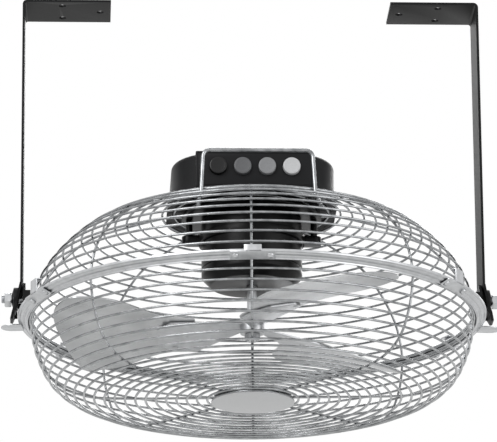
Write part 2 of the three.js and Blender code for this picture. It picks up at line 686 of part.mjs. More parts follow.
add(cage, 'blade_hub', spiderGeometry(), zinc()).position.z = hub.level;
for (let i = 0; i < bladeCount; i += 1) {
  const sheet = add(cage, `fan_blade_${i + 1}`, bladeGeometry(), aluminium());
  sheet.rotation.z = bladeTurn(i);
  sheet.position.z = hub.level;
}
add(cage, 'hub_nut', hexagon(hub.nutFlats, shaft.radius + clearance, hubLow - clearance - hub.nutHeight,
  hubLow - clearance), zinc()).position.z = hub.level;

// Control housing: a base plate on the rear guard, a deep cover over it and a button panel in front
const coverBottom = baseBottom;
const coverTop = coverBottom + cover.height;
const panelTop = coverBottom + panel.height;
const panelFace = -(cover.half + panel.reach);

add(cage, 'housing_base', cut(
  prism(roundedSquare(cover.half - cover.wall - clearance, cover.corner - cover.wall), baseBottom, baseTop,
    facetCount.corner),
  rod(basePlate.wireHole, baseBottom - overrun, baseTop + overrun),
  ...boltHoles(baseBottom, baseTop),
), blackPlastic());

boltPlaces().forEach(([x, y], i) => {
  const seat = baseTop + clearance;
  add(cage, `through_bolt_${i + 1}`, turned([
    [0, motorTop - motor.lid], [throughBolt.radius, motorTop - motor.lid], [throughBolt.radius, seat],
    [throughBolt.headRadius, seat], [throughBolt.headRadius, seat + throughBolt.headHeight],
    [0, seat + throughBolt.headHeight],
  ], facetCount.tiny).translate(x, y, 0), zinc());
});

// A rounded square block with its upper edge rounded over
function roundedBlock(half, corner, low, high, edge) {
  const block = new THREE.ExtrudeGeometry(roundedSquare(half - edge, corner - edge), {
    depth: high - low, bevelSize: edge, bevelThickness: edge, bevelSegments: 3,
    curveSegments: facetCount.corner,
  }).translate(0, 0, low - edge);
  const below = new THREE.BoxGeometry(half * 3, half * 3, edge * 4).translate(0, 0, low - edge * 2);
  return cut(block, below);
}

// The skirt that spreads towards the guard
function skirtBlock() {
  const { half, corner, flare, flareHeight } = cover;
  const spread = new THREE.ExtrudeGeometry(roundedSquare(half - clearance, corner), {
    depth: clearance, bevelSize: flare, bevelThickness: flareHeight, bevelSegments: 1,
    curveSegments: facetCount.corner,
  }).translate(0, 0, coverBottom);
  const below = new THREE.BoxGeometry(half * 3, half * 3, flareHeight * 2)
    .translate(0, 0, coverBottom - flareHeight);
  return cut(spread, below);
}

function frontBox(half, depth, low, high) {
  return new THREE.BoxGeometry(half * 2, depth, high - low)
    .translate(0, panelFace + depth / 2, (low + high) / 2);
}

function coverGeometry() {
  const outer = join(
    roundedBlock(cover.half, cover.corner, coverBottom, coverTop, cover.edge),
    skirtBlock(),
    frontBox(panel.half, panel.reach * 3, coverBottom, panelTop),
  );
  const inner = roundedBlock(cover.half - cover.wall, cover.corner - cover.wall, coverBottom - overrun,
    coverTop - cover.wall, cover.edge - cover.wall);
  const window = frontBox(panel.half - panel.wall, panel.reach * 3, coverBottom + panel.wall,
    panelTop - panel.wall).translate(0, -clearance, 0);
  const glandHole = alongY(rod(gland.radius + clearance, -overrun * 2, overrun * 2))
    .translate(0, cover.half, coverBottom + gland.rise);
  const screwHoles = coverScrews().map(([x, y]) => rod(coverScrew.radius + clearance, coverTop - overrun * 2,
    coverTop + overrun, facetCount.tiny).translate(x, y, 0));
  return cut(outer, inner, window, glandHole, ...screwHoles);
}

function coverScrews() {
  const side = cover.half - coverScrew.inset - cover.corner * (1 - Math.SQRT1_2);
  return [[side, side], [-side, side], [-side, -side], [side, -side]];
}

const faceThickness = panel.wall;
const buttonX = (i) => (i - (buttonCount - 1) / 2) * button.spacing;
const buttonZ = coverBottom + button.rise;

function panelGeometry() {
  const low = coverBottom + panel.wall + clearance;
  const high = panelTop - panel.wall - clearance;
  const half = panel.half - panel.wall - clearance;
  const face = new THREE.BoxGeometry(half * 2, faceThickness, high - low)
    .translate(0, panelFace + faceThickness / 2, (low + high) / 2);
  const holes = [];
  for (let i = 0; i < buttonCount; i += 1) {
    holes.push(alongY(rod(button.radius + clearance, -overrun, overrun))
      .translate(buttonX(i), panelFace, buttonZ));
  }
  return cut(face, ...holes);
}

// A button cap with a skirt behind the panel that stops it falling out
function buttonGeometry() {
  const back = faceThickness + clearance + button.travel + button.skirtHeight;
  return turned([
    [0, -back], [button.radius + button.skirt, -back],
    [button.radius + button.skirt, -faceThickness - clearance],
    [button.radius, -faceThickness - clearance], [button.radius, button.proud - button.skirt],
    [button.radius - button.skirt, button.proud], [0, button.proud],
  ], facetCount.smallRound).rotateX(Math.PI / 2);
}

add(cage, 'control_cover', coverGeometry(), blackPlastic());
add(cage, 'button_panel', panelGeometry(), blackPlastic());
const buttonNames = ['stop_button', 'low_speed_button', 'medium_speed_button', 'high_speed_button'];
const buttonColours = [0x18191b, 0x595a5c, 0x7c7d80, 0xc9cacc];
buttonNames.forEach((name, i) => {
  const cap = add(cage, name, buttonGeometry(), finish(buttonColours[i], 0.45, 0));
  cap.position.set(buttonX(i), panelFace, buttonZ);
});

// What the cover holds: the switch behind the buttons, the motor capacitor and a terminal block
function boxOn(x, y, half, depth, low, high) {
  return new THREE.BoxGeometry(half * 2, depth, high - low).translate(x, y, (low + high) / 2);
}
const floorTop = baseTop + clearance;
const buttonBack = panelFace + faceThickness + clearance + button.travel * 2 + button.skirtHeight;
add(cage, 'speed_switch', boxOn(0, buttonBack + clearance + switchBlock.depth / 2, switchBlock.half,
  switchBlock.depth, floorTop, floorTop + switchBlock.height), finish(0xd8d6cf, 0.6, 0));
add(cage, 'motor_capacitor', boxOn(capacitor.x, capacitor.y, capacitor.half, capacitor.depth, floorTop,
  floorTop + capacitor.height), finish(0xe4e2dc, 0.5, 0));
add(cage, 'terminal_block', boxOn(terminal.x, terminal.y, terminal.half, terminal.depth, floorTop,
  floorTop + terminal.height), finish(0xe9e6dc, 0.5, 0));

function glandGeometry() {
  const wallFace = cover.half + clearance;
  const inside = cover.half - cover.wall - gland.seat;
  return alongY(turned([
    [gland.bore, inside], [gland.radius, inside], [gland.radius, wallFace], [gland.flange, wallFace],
    [gland.flange, wallFace + gland.seat], [gland.radius, wallFace + gland.seat + gland.reach / 2],
    [gland.radius * 0.8, wallFace + gland.reach], [gland.bore, wallFace + gland.reach],
  ], facetCount.smallRound)).rotateZ(Math.PI).translate(0, 0, coverBottom + gland.rise);
}
add(cage, 'cable_gland', glandGeometry(), blackPlastic());

coverScrews().forEach(([x, y], i) => {
  const seat = coverTop + clearance;
  add(cage, `cover_screw_${i + 1}`, turned([
    [0, seat - coverScrew.depth], [coverScrew.radius, seat - coverScrew.depth], [coverScrew.radius, seat],
    [coverScrew.headRadius, seat], [coverScrew.headRadius * 0.8, seat + coverScrew.headHeight],
    [0, seat + coverScrew.headHeight],
  ], facetCount.tiny).translate(x, y, 0), zinc());
});

// A wire bent through points, with one section at each of them
class BentWire extends THREE.Curve {
  constructor(points) {
    super();
    this.points = points;
  }

  getUtoTmapping(share) {
    return share;
  }

  getPoint(share) {
    return this.points[Math.round(share * (this.points.length - 1))].clone();
  }

  getTangent(share) {
    const i = Math.round(share * (this.points.length - 1));
    const here = this.points[i];
    const ahead = new THREE.Vector3().subVectors(this.points[Math.min(i + 1, this.points.length - 1)], here);
    const behind = new THREE.Vector3().subVectors(here, this.points[Math.max(i - 1, 0)]);
    return ahead.normalize().add(behind.normalize()).normalize();
  }
}

// The point inside the rear guard at a radius, so far from the middle of its wires
function insideRear(radius, distance) {
  const points = rearCurve.getSpacedPoints(200);
  const gap = (p) => Math.abs(p.x - radius);
  const nearest = points.reduce((best, p, i) => (gap(p) < gap(points[best]) ? i : best), 0);
  return points[nearest].clone().addScaledVector(inwards(points)[nearest], distance);
}

// Wire handle in front of the panel: an upright bow, whose legs pass between two rings and run down inside them
function handleGeometry() {
  const { half, bend, inward, rise } = handle;
  const rings = rearCurve.getSpacedPoints(rearRings - 1).map((p) => p.x);
  const beyond = rings.findIndex((radius) => radius < cageRadius * handle.footShare);
  const foot = (rings[beyond - 1] + rings[beyond]) / 2;
  const reach = wireRadius * 1.2 + clearance + handle.radius;
  const onGuard = (share, x) => {
    const p = insideRear(cageRadius * share, reach);
    return new THREE.Vector3(x, -Math.sqrt(p.x * p.x - x * x), p.y);
  };
  const low = insideRear(foot, 0).y;
  const top = low + rise;
  const heel = new THREE.Vector3(half, -Math.sqrt(foot * foot - half * half), low - reach - handle.sink);
  const knuckle = new THREE.Vector3(half - inward, heel.y, top);
  const tail = onGuard(handle.tailShare, half + handle.splay);
  const middle = onGuard((handle.tailShare + handle.footShare) / 2, half + handle.splay / 2);
  const step = (from, to) => new THREE.Vector3().subVectors(to, from).setLength(bend).add(from);
  const corner = (before, at, after) => new THREE.QuadraticBezierCurve3(
    step(at, before), at, step(at, after)).getPoints(3);
  const across = knuckle.clone().setX(0);
  const right = [tail, middle, heel, ...corner(heel, knuckle, across)];
  const left = right.map((p) => new THREE.Vector3(-p.x, p.y, p.z)).reverse();
  const route = [...right, ...left];
  const section = new THREE.Shape();
  section.absarc(0, 0, handle.radius, 0, Math.PI * 2, false);
  return new THREE.ExtrudeGeometry(section, {
    steps: route.length - 1, extrudePath: new BentWire(route), curveSegments: 3,
  });
}

add(cage, 'carry_handle', handleGeometry(), chrome());

export default model;
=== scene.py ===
import json
import math

import bmesh
import bpy
from mathutils import Matrix, Vector


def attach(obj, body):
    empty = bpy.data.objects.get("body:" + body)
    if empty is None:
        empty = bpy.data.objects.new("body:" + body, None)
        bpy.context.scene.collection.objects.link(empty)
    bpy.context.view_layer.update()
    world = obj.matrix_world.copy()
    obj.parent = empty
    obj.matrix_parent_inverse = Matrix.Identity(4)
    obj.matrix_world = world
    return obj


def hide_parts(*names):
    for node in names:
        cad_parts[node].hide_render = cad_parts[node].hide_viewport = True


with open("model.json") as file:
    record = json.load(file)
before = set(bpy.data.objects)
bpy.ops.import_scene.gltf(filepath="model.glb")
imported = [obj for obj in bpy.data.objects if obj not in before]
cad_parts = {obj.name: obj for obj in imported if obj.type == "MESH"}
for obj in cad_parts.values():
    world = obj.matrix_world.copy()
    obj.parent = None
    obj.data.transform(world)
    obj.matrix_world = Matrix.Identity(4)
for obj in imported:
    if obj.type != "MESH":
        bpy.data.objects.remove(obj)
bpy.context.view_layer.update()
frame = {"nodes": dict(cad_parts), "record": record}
nodes = frame["nodes"]

# Sizes are in millimetres in the part's own frame: +X along the tilt axis, +Z up, ceiling at 0
mm = 0.001
pivotZ = -369.0
ringZ = -393.0
ringRadius = 280.0
clearance = 0.3
fullTurn = 2 * math.pi
alongX = Matrix.Rotation(math.pi / 2, 4, "Y")
towardsFront = Matrix.Rotation(math.pi / 2, 4, "X")
halfTurn = Matrix.Rotation(math.pi, 4, "Z")


# Camera at the photograph's viewing angle, for a picture of 497 x 442
cameraSettings = {
    "place": (-206.0, -4614.0, -1724.0), "yaw": -2.6, "pitch": 17.06, "roll": -0.48,
    "focalPixels": 4020.1, "axisPixel": (254.6, 250.6), "picture": (497, 442), "sensor": 36.0,
}


def makeCamera():
    c = cameraSettings
    yaw, pitch, roll = (math.radians(c[key]) for key in ("yaw", "pitch", "roll"))
    level = Vector((math.cos(yaw), math.sin(yaw), 0))
    forward = Vector((-math.sin(yaw) * math.cos(pitch), math.cos(yaw) * math.cos(pitch), math.sin(pitch)))
    upright = level.cross(forward)
    right = level * math.cos(roll) + upright * math.sin(roll)
    up = upright * math.cos(roll) - level * math.sin(roll)
    width, height = c["picture"]
    data = bpy.data.cameras.new("camera")
    data.sensor_fit = "HORIZONTAL"
    data.sensor_width = c["sensor"]
    data.lens = c["focalPixels"] / width * c["sensor"]
    data.shift_x = (width / 2 - c["axisPixel"][0]) / width
    data.shift_y = (c["axisPixel"][1] - height / 2) / width
    data.clip_end = 100
    camera = bpy.data.objects.new("camera", data)
    bpy.context.scene.collection.objects.link(camera)
    turn = Matrix((right, up, -forward)).transposed().to_4x4()
    camera.matrix_world = Matrix.Translation(Vector(c["place"]) * mm) @ turn
    bpy.context.scene.camera = camera


# Materials
def linear(colour, alpha=1.0):
    channels = [int(colour[i:i + 2], 16) / 255 for i in (1, 3, 5)]
    return [c / 12.92 if c <= 0.04045 else ((c + 0.055) / 1.055) ** 2.4 for c in channels] + [alpha]


def addNode(tree, kind, values=None, links=None, **settings):
    node = tree.nodes.new(kind)
    for key, value in settings.items():
        setattr(node, key, value)
    for socket, value in (values or {}).items():
        node.inputs[socket].default_value = value
    for socket, source in (links or {}).items():
        tree.links.new(source, node.inputs[socket])
    return node


def startMaterial(name):
    material = bpy.data.materials.new(name)
    material.use_nodes = True
    tree = material.node_tree
    shader = tree.nodes["Principled BSDF"]
    place = addNode(tree, "ShaderNodeTexCoord").outputs["Object"]
    return material, tree, shader, place


def perMillimetre(size):
    return 1000.0 / size


def noise(tree, place, size, detail):
    return addNode(tree, "ShaderNodeTexNoise", {"Scale": perMillimetre(size), "Detail": detail}, {"Vector": place})


# These three take the shader's colour, roughness and fine relief from a pattern
def tint(tree, shader, pattern, dark, pale):
    tone = addNode(tree, "ShaderNodeMixRGB", {"Color1": linear(dark), "Color2": linear(pale)},
                   {"Fac": pattern.outputs["Fac"]})
    tree.links.new(tone.outputs["Color"], shader.inputs["Base Color"])


def roughen(tree, shader, pattern, low, high):
    rough = addNode(tree, "ShaderNodeMapRange", {"To Min": low, "To Max": high}, {"Value": pattern.outputs["Fac"]})
    tree.links.new(rough.outputs["Result"], shader.inputs["Roughness"])


def emboss(tree, shader, pattern, strength, depth):
    bump = addNode(tree, "ShaderNodeBump", {"Strength": strength, "Distance": depth * mm},
                   {"Height": pattern.outputs["Fac"]})
    tree.links.new(bump.outputs["Normal"], shader.inputs["Normal"])


# Pressed steel with a satin powder coat: nearly black, with a fine orange-peel skin
def powderCoatMaterial():
    material, tree, shader, place = startMaterial("satinPowderCoat")
    peel = noise(tree, place, 1.4, 2.0)
    tint(tree, shader, noise(tree, place, 45, 3.0), "#060607", "#111213")
    roughen(tree, shader, peel, 0.42, 0.56)
    emboss(tree, shader, peel, 0.04, 0.1)
    shader.inputs["Specular IOR Level"].default_value = 0.16
    return material


# Motor case and its fittings: black enamel over cast metal, glossier than the brackets
def motorEnamelMaterial():
    material, tree, shader, place = startMaterial("blackEnamel")
    cast = noise(tree, place, 3, 4.0)
    tint(tree, shader, cast, "#040405", "#0d0d0e")
    emboss(tree, shader, cast, 0.15, 0.3)
    shader.inputs["Roughness"].default_value = 0.3
    shader.inputs["Specular IOR Level"].default_value = 0.16
    return material


# Bright nickel-plated wire: a hard shine, with painted reflection: broad dark and pale patches along the wire stand in
# for what it reflects
def platedWireMaterial():
    material, tree, shader, place = startMaterial("nickelPlatedWire")
    paintedReflectionPatch = noise(tree, place, 12, 3.0)
    # Painted reflection: the wire's colour runs from dark grey to pale grey in patches; the same pattern varies the
    # roughness
    tint(tree, shader, paintedReflectionPatch, "#4c4e50", "#c2c4c6")
    roughen(tree, shader, paintedReflectionPatch, 0.16, 0.3)
    shader.inputs["Metallic"].default_value = 1.0
    return material


# Zinc-plated sheet and fasteners: bluish grey, cloudy, with fine rolling marks
def zincPlateMaterial():
    material, tree, shader, place = startMaterial("zincPlatedSteel")
    cloud = noise(tree, place, 9, 5.0)
    tint(tree, shader, cloud, "#a0a2a4", "#cfd0d2")
    roughen(tree, shader, cloud, 0.22, 0.42)
    emboss(tree, shader, noise(tree, place, 0.9, 2.0), 0.06, 0.2)
    shader.inputs["Metallic"].default_value = 1.0
    return material


# Rolled aluminium sheet: satin, with faint streaks drawn out one way, and painted reflection in broad patches
def bladeSheetMaterial():
    material, tree, shader, place = startMaterial("rolledAluminium")
    drawn = addNode(tree, "ShaderNodeMapping", {"Scale": (0.06, 1.0, 1.0)}, {"Vector": place})
    streak = noise(tree, drawn.outputs["Vector"], 1.6, 3.0)
    # Painted reflection: broad patches from mid grey to near white stand in for the reflections on the blades
    tint(tree, shader, noise(tree, place, 60, 2.0), "#828486", "#dadbdc")
    roughen(tree, shader, streak, 0.2, 0.42)
    emboss(tree, shader, streak, 0.08, 0.2)
    shader.inputs["Metallic"].default_value = 1.0
    return material


# Bead-blasted and anodised aluminium: an even pale grey with a fine sparkle
def badgeMaterial():
    material, tree, shader, place = startMaterial("beadBlastedAluminium")
    grain = noise(tree, place, 0.8, 3.0)
    tint(tree, shader, grain, "#a3a4a6", "#cfd0d1")
    emboss(tree, shader, grain, 0.2, 0.2)
    shader.inputs["Metallic"].default_value = 0.85
    shader.inputs["Roughness"].default_value = 0.45
    return material


# Moulded ABS: a spark-eroded grain breaks up the light
def mouldedPlasticMaterial(name, dark, pale, roughness, shine=0.5):
    material, tree, shader, place = startMaterial(name)
    grain = noise(tree, place, 0.9, 2.0)
    tint(tree, shader, grain, dark, pale)
    emboss(tree, shader, grain, 0.25, 0.3)
    shader.inputs["Roughness"].default_value = roughness
    shader.inputs["Specular IOR Level"].default_value = shine
    return material


# Stacked laminations: thin dark and pale lines, one above the other
def laminationMaterial():
    material, tree, shader, place = startMaterial("electricalSteelStack")
    lines = addNode(tree, "ShaderNodeTexWave", {"Scale": perMillimetre(20), "Distortion": 0.0},
                    {"Vector": place}, bands_direction="Z")
    tint(tree, shader, lines, "#4c4e52", "#8a8c90")
    shader.inputs["Metallic"].default_value = 0.8
    shader.inputs["Roughness"].default_value = 0.5
    return material


# Varnished copper wire, wound in bundles
def windingMaterial():
    material, tree, shader, place = startMaterial("varnishedCopper")
    strands = addNode(tree, "ShaderNodeTexWave", {"Scale": perMillimetre(22), "Distortion": 3.0, "Detail": 2.0},
                      {"Vector": place}, bands_direction="Z")
    tint(tree, shader, strands, "#7a3a1c", "#c4783f")
    emboss(tree, shader, strands, 0.5, 0.5)
    shader.inputs["Metallic"].default_value = 0.7
    shader.inputs["Roughness"].default_value = 0.32
    return material


slotMaterials = {
    "black_painted_steel": powderCoatMaterial(),
    "dark_motor_paint": motorEnamelMaterial(),
    "bright_wire": platedWireMaterial(),
    "plated_steel": zincPlateMaterial(),
    "blade_aluminium": bladeSheetMaterial(),
    "badge_aluminium": badgeMaterial(),
    "black_plastic": mouldedPlasticMaterial("blackAbs", "#08080a", "#141517", 0.46, 0.18),
    "button_black": mouldedPlasticMaterial("blackButtonAbs", "#060607", "#101011", 0.3, 0.35),
    "button_dark_grey": mouldedPlasticMaterial("darkGreyButtonAbs", "#4c4d4f", "#5f6062", 0.42),
    "button_grey": mouldedPlasticMaterial("greyButtonAbs", "#707173", "#87888a", 0.42),
    "button_light_grey": mouldedPlasticMaterial("lightGreyButtonAbs", "#a6a7a9", "#c9cacb", 0.42),
    "switch_plastic": mouldedPlasticMaterial("naturalNylon", "#d2cfc4", "#e4e1d8", 0.55),
    "laminated_steel": laminationMaterial(),
    "winding_copper": windingMaterial(),
}
print("materials made:", len(slotMaterials))


# Mesh helpers: every shape starts in its own bmesh, in metres
def addPart(whole, part):
    mesh = bpy.data.meshes.new("part")
    part.to_mesh(mesh)
    part.free()
    whole.from_mesh(mesh)
    bpy.data.meshes.remove(mesh)


def place(part, move=(0, 0, 0), turn=None):
    if turn is not None:
        bmesh.ops.transform(part, matrix=turn, verts=part.verts)
    bmesh.ops.translate(part, vec=Vector(move) * mm, verts=part.verts)
    return part


def turned(profile, steps, soften=0.0):
    part = bmesh.new()
    corners = [part.verts.new((r * mm, 0, z * mm)) for r, z in profile]
    part.faces.new(corners)
    if soften:
        free = [v for v in corners if v.co.x > 1e-7]
        bmesh.ops.bevel(part, geom=free, offset=soften * mm, offset_type="OFFSET", segments=3, profile=0.5,
                        affect="VERTICES", material=-1, clamp_overlap=True)
    bmesh.ops.delete(part, geom=part.faces[:], context="FACES_ONLY")
    onAxis = [e for e in part.edges if all(v.co.x < 1e-7 for v in e.verts)]
    bmesh.ops.delete(part, geom=onAxis, context="EDGES")
    bmesh.ops.spin(part, geom=part.verts[:] + part.edges[:], cent=(0, 0, 0), axis=(0, 0, 1), dvec=(0, 0, 0),
                   angle=fullTurn, steps=steps, use_merge=True)
    bmesh.ops.remove_doubles(part, verts=part.verts, dist=1e-6)
    bmesh.ops.recalc_face_normals(part, faces=part.faces)
    return part


def rod(radius, low, high, steps, soften=0.0):
    return turned([(0, low), (radius, low), (radius, high), (0, high)], steps, soften)


def tube(inner, outer, low, high, steps, soften=0.0):
    return turned([(inner, low), (outer, low), (outer, high), (inner, high)], steps, soften)


def wireRing(radius, height, wire, steps, sides=8):
    part = bmesh.new()
    bmesh.ops.create_circle(part, segments=sides, radius=wire * mm)
    bmesh.ops.rotate(part, cent=(0, 0, 0), matrix=Matrix.Rotation(math.pi / 2, 3, "X"), verts=part.verts)
    bmesh.ops.translate(part, vec=(radius * mm, 0, height * mm), verts=part.verts)
    bmesh.ops.spin(part, geom=part.verts[:] + part.edges[:], cent=(0, 0, 0), axis=(0, 0, 1), dvec=(0, 0, 0),
                   angle=fullTurn, steps=steps, use_merge=True)
    bmesh.ops.recalc_face_normals(part, faces=part.faces)
    return part


# A round wire through points, given in millimetres
def bentWire(points, wire, sides=3):
    curve = bpy.data.curves.new("wire", "CURVE")
    curve.dimensions = "3D"
    curve.bevel_depth = wire * mm
    curve.bevel_resolution = sides
    curve.use_fill_caps = True
    spline = curve.splines.new("POLY")
    spline.points.add(len(points) - 1)
    for point, (x, y, z) in zip(spline.points, points):
        point.co = (x * mm, y * mm, z * mm, 1)
    holder = bpy.data.objects.new("wire", curve)
    part = bmesh.new()
    part.from_mesh(holder.to_mesh())
    holder.to_mesh_clear()
    bpy.data.objects.remove(holder)
    bpy.data.curves.remove(curve)
    bmesh.ops.remove_doubles(part, verts=part.verts, dist=1e-6)
    bmesh.ops.recalc_face_normals(part, faces=part.faces)
    return part


def roundedBox(size, centre, soften, segments=3):
    part = bmesh.new()
    bmesh.ops.create_cube(part, size=1.0)
    bmesh.ops.scale(part, vec=Vector(size) * mm, verts=part.verts)
    bmesh.ops.bevel(part, geom=part.edges[:], offset=soften * mm, offset_type="OFFSET", segments=segments,
                    profile=0.5, affect="EDGES", material=-1, clamp_overlap=True)
    return place(part, centre)


def prism(outline, low, high, soften=0.0, segments=2):
    part = bmesh.new()
    base = part.faces.new([part.verts.new((x * mm, y * mm, low * mm)) for x, y in outline])
    lifted = bmesh.ops.extrude_face_region(part, geom=[base])
    top = [v for v in lifted["geom"] if isinstance(v, bmesh.types.BMVert)]
    bmesh.ops.translate(part, vec=(0, 0, (high - low) * mm), verts=top)
    if soften:
        rims = [e for e in part.edges if abs(e.verts[0].co.z - e.verts[1].co.z) < 1e-7]
        bmesh.ops.bevel(part, geom=rims, offset=soften * mm, offset_type="OFFSET", segments=segments,
                        profile=0.5, affect="EDGES", material=-1, clamp_overlap=True)
    bmesh.ops.recalc_face_normals(part, faces=part.faces)
    return part


# An outline of x and z, pushed along Y from low to high
def upright(outline, low, high, soften=0.0):
    return place(prism(outline, -high, -low, soften), turn=towardsFront)


# Outline of a tongue along X with a half-round end
def roundedTongue(near, reach, half, count):
    outline = [(near, -half)]
    for i in range(count + 1):
        angle = -math.pi / 2 + math.pi * i / count
        outline.append((reach - half + half * math.cos(angle), half * math.sin(angle)))
    return outline + [(near, half)]


def dome(radius, height, steps=20):
    part = bmesh.new()
    bmesh.ops.create_uvsphere(part, u_segments=steps, v_segments=10, radius=radius * mm)
    bmesh.ops.scale(part, vec=(1, 1, height / radius), verts=part.verts)
    return part


def bareObject(name, part):
    mesh = bpy.data.meshes.new(name)
    part.to_mesh(mesh)
    part.free()
    made = bpy.data.objects.new(name, mesh)
    bpy.context.scene.collection.objects.link(made)
    return made


# Cuts or joins one shape with others and keeps the result in the first one's mesh
def carve(made, tools, operation="DIFFERENCE"):
    for tool in tools:
        step = made.modifiers.new("carve", "BOOLEAN")
        step.operation = operation
        step.solver = "EXACT"
        step.object = tool
    bakeModifiers(made)
    for tool in tools:
        bpy.data.objects.remove(tool)


def bakeModifiers(made):
    bpy.context.view_layer.update()
    shape = made.evaluated_get(bpy.context.evaluated_depsgraph_get())
    mesh = bpy.data.meshes.new_from_object(shape)
    made.modifiers.clear()
    old = made.data
    made.data = mesh
    bpy.data.meshes.remove(old)


# Rounds the edges that are sharper than 50 degrees
def softenEdges(made, width):
    edges = made.modifiers.new("edges", "BEVEL")
    edges.width = width * mm
    edges.segments = 2
    edges.limit_method = "ANGLE"
    edges.angle_limit = math.radians(50)
    bakeModifiers(made)


# Hexagon nut with chamfered corners: the chamfer rises by bevel from each end that has one
def hexagonNut(flats, bore, low, high, bevel, bothEnds):
    corner = flats / math.sqrt(3)
    outline = [(corner * math.cos(math.pi * i / 3), corner * math.sin(math.pi * i / 3)) for i in range(6)]
    made = bareObject("nut", prism(outline, low, high))
    top = [(corner, high - bevel), (flats / 2, high)] if bothEnds else [(corner, high)]
    cone = turned([(0, low), (flats / 2, low), (corner, low + bevel), *top, (0, high)], 48)
    carve(made, [bareObject("cone", cone)], "INTERSECT")
    carve(made, [bareObject("bore", rod(bore, low - 5, high + 5, 40))])
    return made


def shiftMesh(made, height, turn=Matrix.Identity(4)):
    made.data.transform(Matrix.Translation((0, 0, height * mm)) @ turn)


def finishPiece(made, body, slot, replaces, sharpAngle):
    mesh = made.data
    mesh.materials.clear()
    mesh.materials.append(slotMaterials[slot])
    mesh.polygons.foreach_set("use_smooth", [True] * len(mesh.polygons))
    mesh.set_sharp_from_angle(angle=math.radians(sharpAngle))
    mesh.update()
    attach(made, body)
    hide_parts(*replaces)


# Finishes a part of the head whose heights are counted from the clamp ring's middle
def finishOnHead(name, part, slot, node, sharpAngle):
    finishPiece(bareObject(name, place(part, (0, 0, ringZ))), "fan_head", slot, [node], sharpAngle)


# Guards: rings of wire at an even pitch down a curved profile, on eight ribs that run inside them
guardSettings = {
    "cageRadius": 264.8, "wire": 1.45, "rimWire": 2.5, "rimHeight": 2.65, "ribs": 8, "ribOffset": 2.55,
    "ribInset": 1.2, "ribTurn": -2.6, "ribSteps": 90, "rimSteps": 144, "ringSteps": 120, "smallRingSteps": 72,
    "smallRing": 130.0, "fineSteps": 40,
    "front": {"depth": -99.0, "centre": 42.0, "rings": 24, "shares": [
        (0.99, 0.24), (0.97, 0.44), (0.925, 0.69), (0.855, 0.86), (0.77, 0.95), (0.68, 0.99), (0.5, 1),
        (0.33, 1)]},
    "rear": {"depth": 131.0, "centre": 63.84, "rings": 19, "shares": [
        (0.99, 0.15), (0.96, 0.33), (0.9, 0.51), (0.81, 0.69), (0.72, 0.81), (0.6, 0.89), (0.45, 0.97),
        (0.37, 1)]},
}


# Points at an even pitch along the smooth curve through a guard's profile
def guardProfile(side, count):
    g = guardSettings
    shape = g[side]
    knots = [Vector((g["cageRadius"], math.copysign(g["rimHeight"], shape["depth"])))]
    knots += [Vector((r * g["cageRadius"], z * shape["depth"])) for r, z in shape["shares"]]
    knots.append(Vector((shape["centre"], shape["depth"])))
    last = len(knots) - 1
    fine = []
    for i in range(last):
        a, b, c, d = (knots[max(0, min(last, i + k))] for k in (-1, 0, 1, 2))
        for step in range(g["fineSteps"]):
            t = step / g["fineSteps"]
            fine.append(0.5 * ((2 * b) + (c - a) * t + (2 * a - 5 * b + 4 * c - d) * t ** 2
                               + (3 * b - a - 3 * c + d) * t ** 3))
    fine.append(knots[-1])
    lengths = [0.0]
    for p, q in zip(fine, fine[1:]):
        lengths.append(lengths[-1] + (q - p).length)
    points = []
    k = 0
    for i in range(count):
        target = lengths[-1] * i / (count - 1)
        while k < len(lengths) - 2 and lengths[k + 1] < target:
            k += 1
        span = lengths[k + 1] - lengths[k]
        points.append(fine[k].lerp(fine[k + 1], (target - lengths[k]) / span))
    return points


# Unit directions across the profile, towards the inside of the cage
def inwardDirections(points):
    directions = []
    for i, point in enumerate(points):
        along = (points[min(i + 1, len(points) - 1)] - points[max(i - 1, 0)]).normalized()
        inward = Vector((along.y, -along.x))
        directions.append(-inward if inward.dot(point) > 0 else inward)
    return directions


def makeGuard(side):
    g = guardSettings
    shape = g[side]
    whole = bmesh.new()
    rim = guardProfile(side, 2)[0]
    addPart(whole, wireRing(rim.x, rim.y, g["rimWire"], g["rimSteps"], 12))
    for point in guardProfile(side, shape["rings"])[1:]:
        steps = g["ringSteps"] if point.x > g["smallRing"] else g["smallRingSteps"]
        addPart(whole, wireRing(point.x, point.y, g["wire"], steps))
    path = guardProfile(side, g["ribSteps"])
    rail = [p + n * g["ribOffset"] for p, n in zip(path, inwardDirections(path))]
    rail[0] = Vector((g["cageRadius"] - g["ribInset"], path[0].y))
    rail = [p for p in rail if abs(p.y) > g["rimHeight"] * 0.9]
    for i in range(g["ribs"]):
        turn = Matrix.Rotation(fullTurn * i / g["ribs"] + math.radians(g["ribTurn"]), 4, "Z")
        addPart(whole, place(bentWire([(p.x, 0, p.y) for p in rail], g["wire"]), turn=turn))
    finishOnHead(f"{side}WireGuard", whole, "bright_wire", f"{side}_guard", 60)


# Clamp ring round both rims: an upright wall and a sloping flange with a small lip
bandSettings = {
    "wall": 1.6, "wallHalf": 6.2, "width": 12.4, "slope": 24.0, "start": 3.6, "lip": 2.6, "soften": 0.35,
    "groove": ((2.2, 0.0), (2.7, 0.9), (3.9, 0.9), (4.4, 0.0), (7.6, 0.0), (8.0, 0.7), (8.9, 0.7), (9.3, 0.0)),
}


# The sloping flange's upright thickness, and its rise per millimetre outwards
def bandSkin():
    b = bandSettings
    slope = math.radians(b["slope"])
    return b["wall"] / math.cos(slope), math.tan(slope)


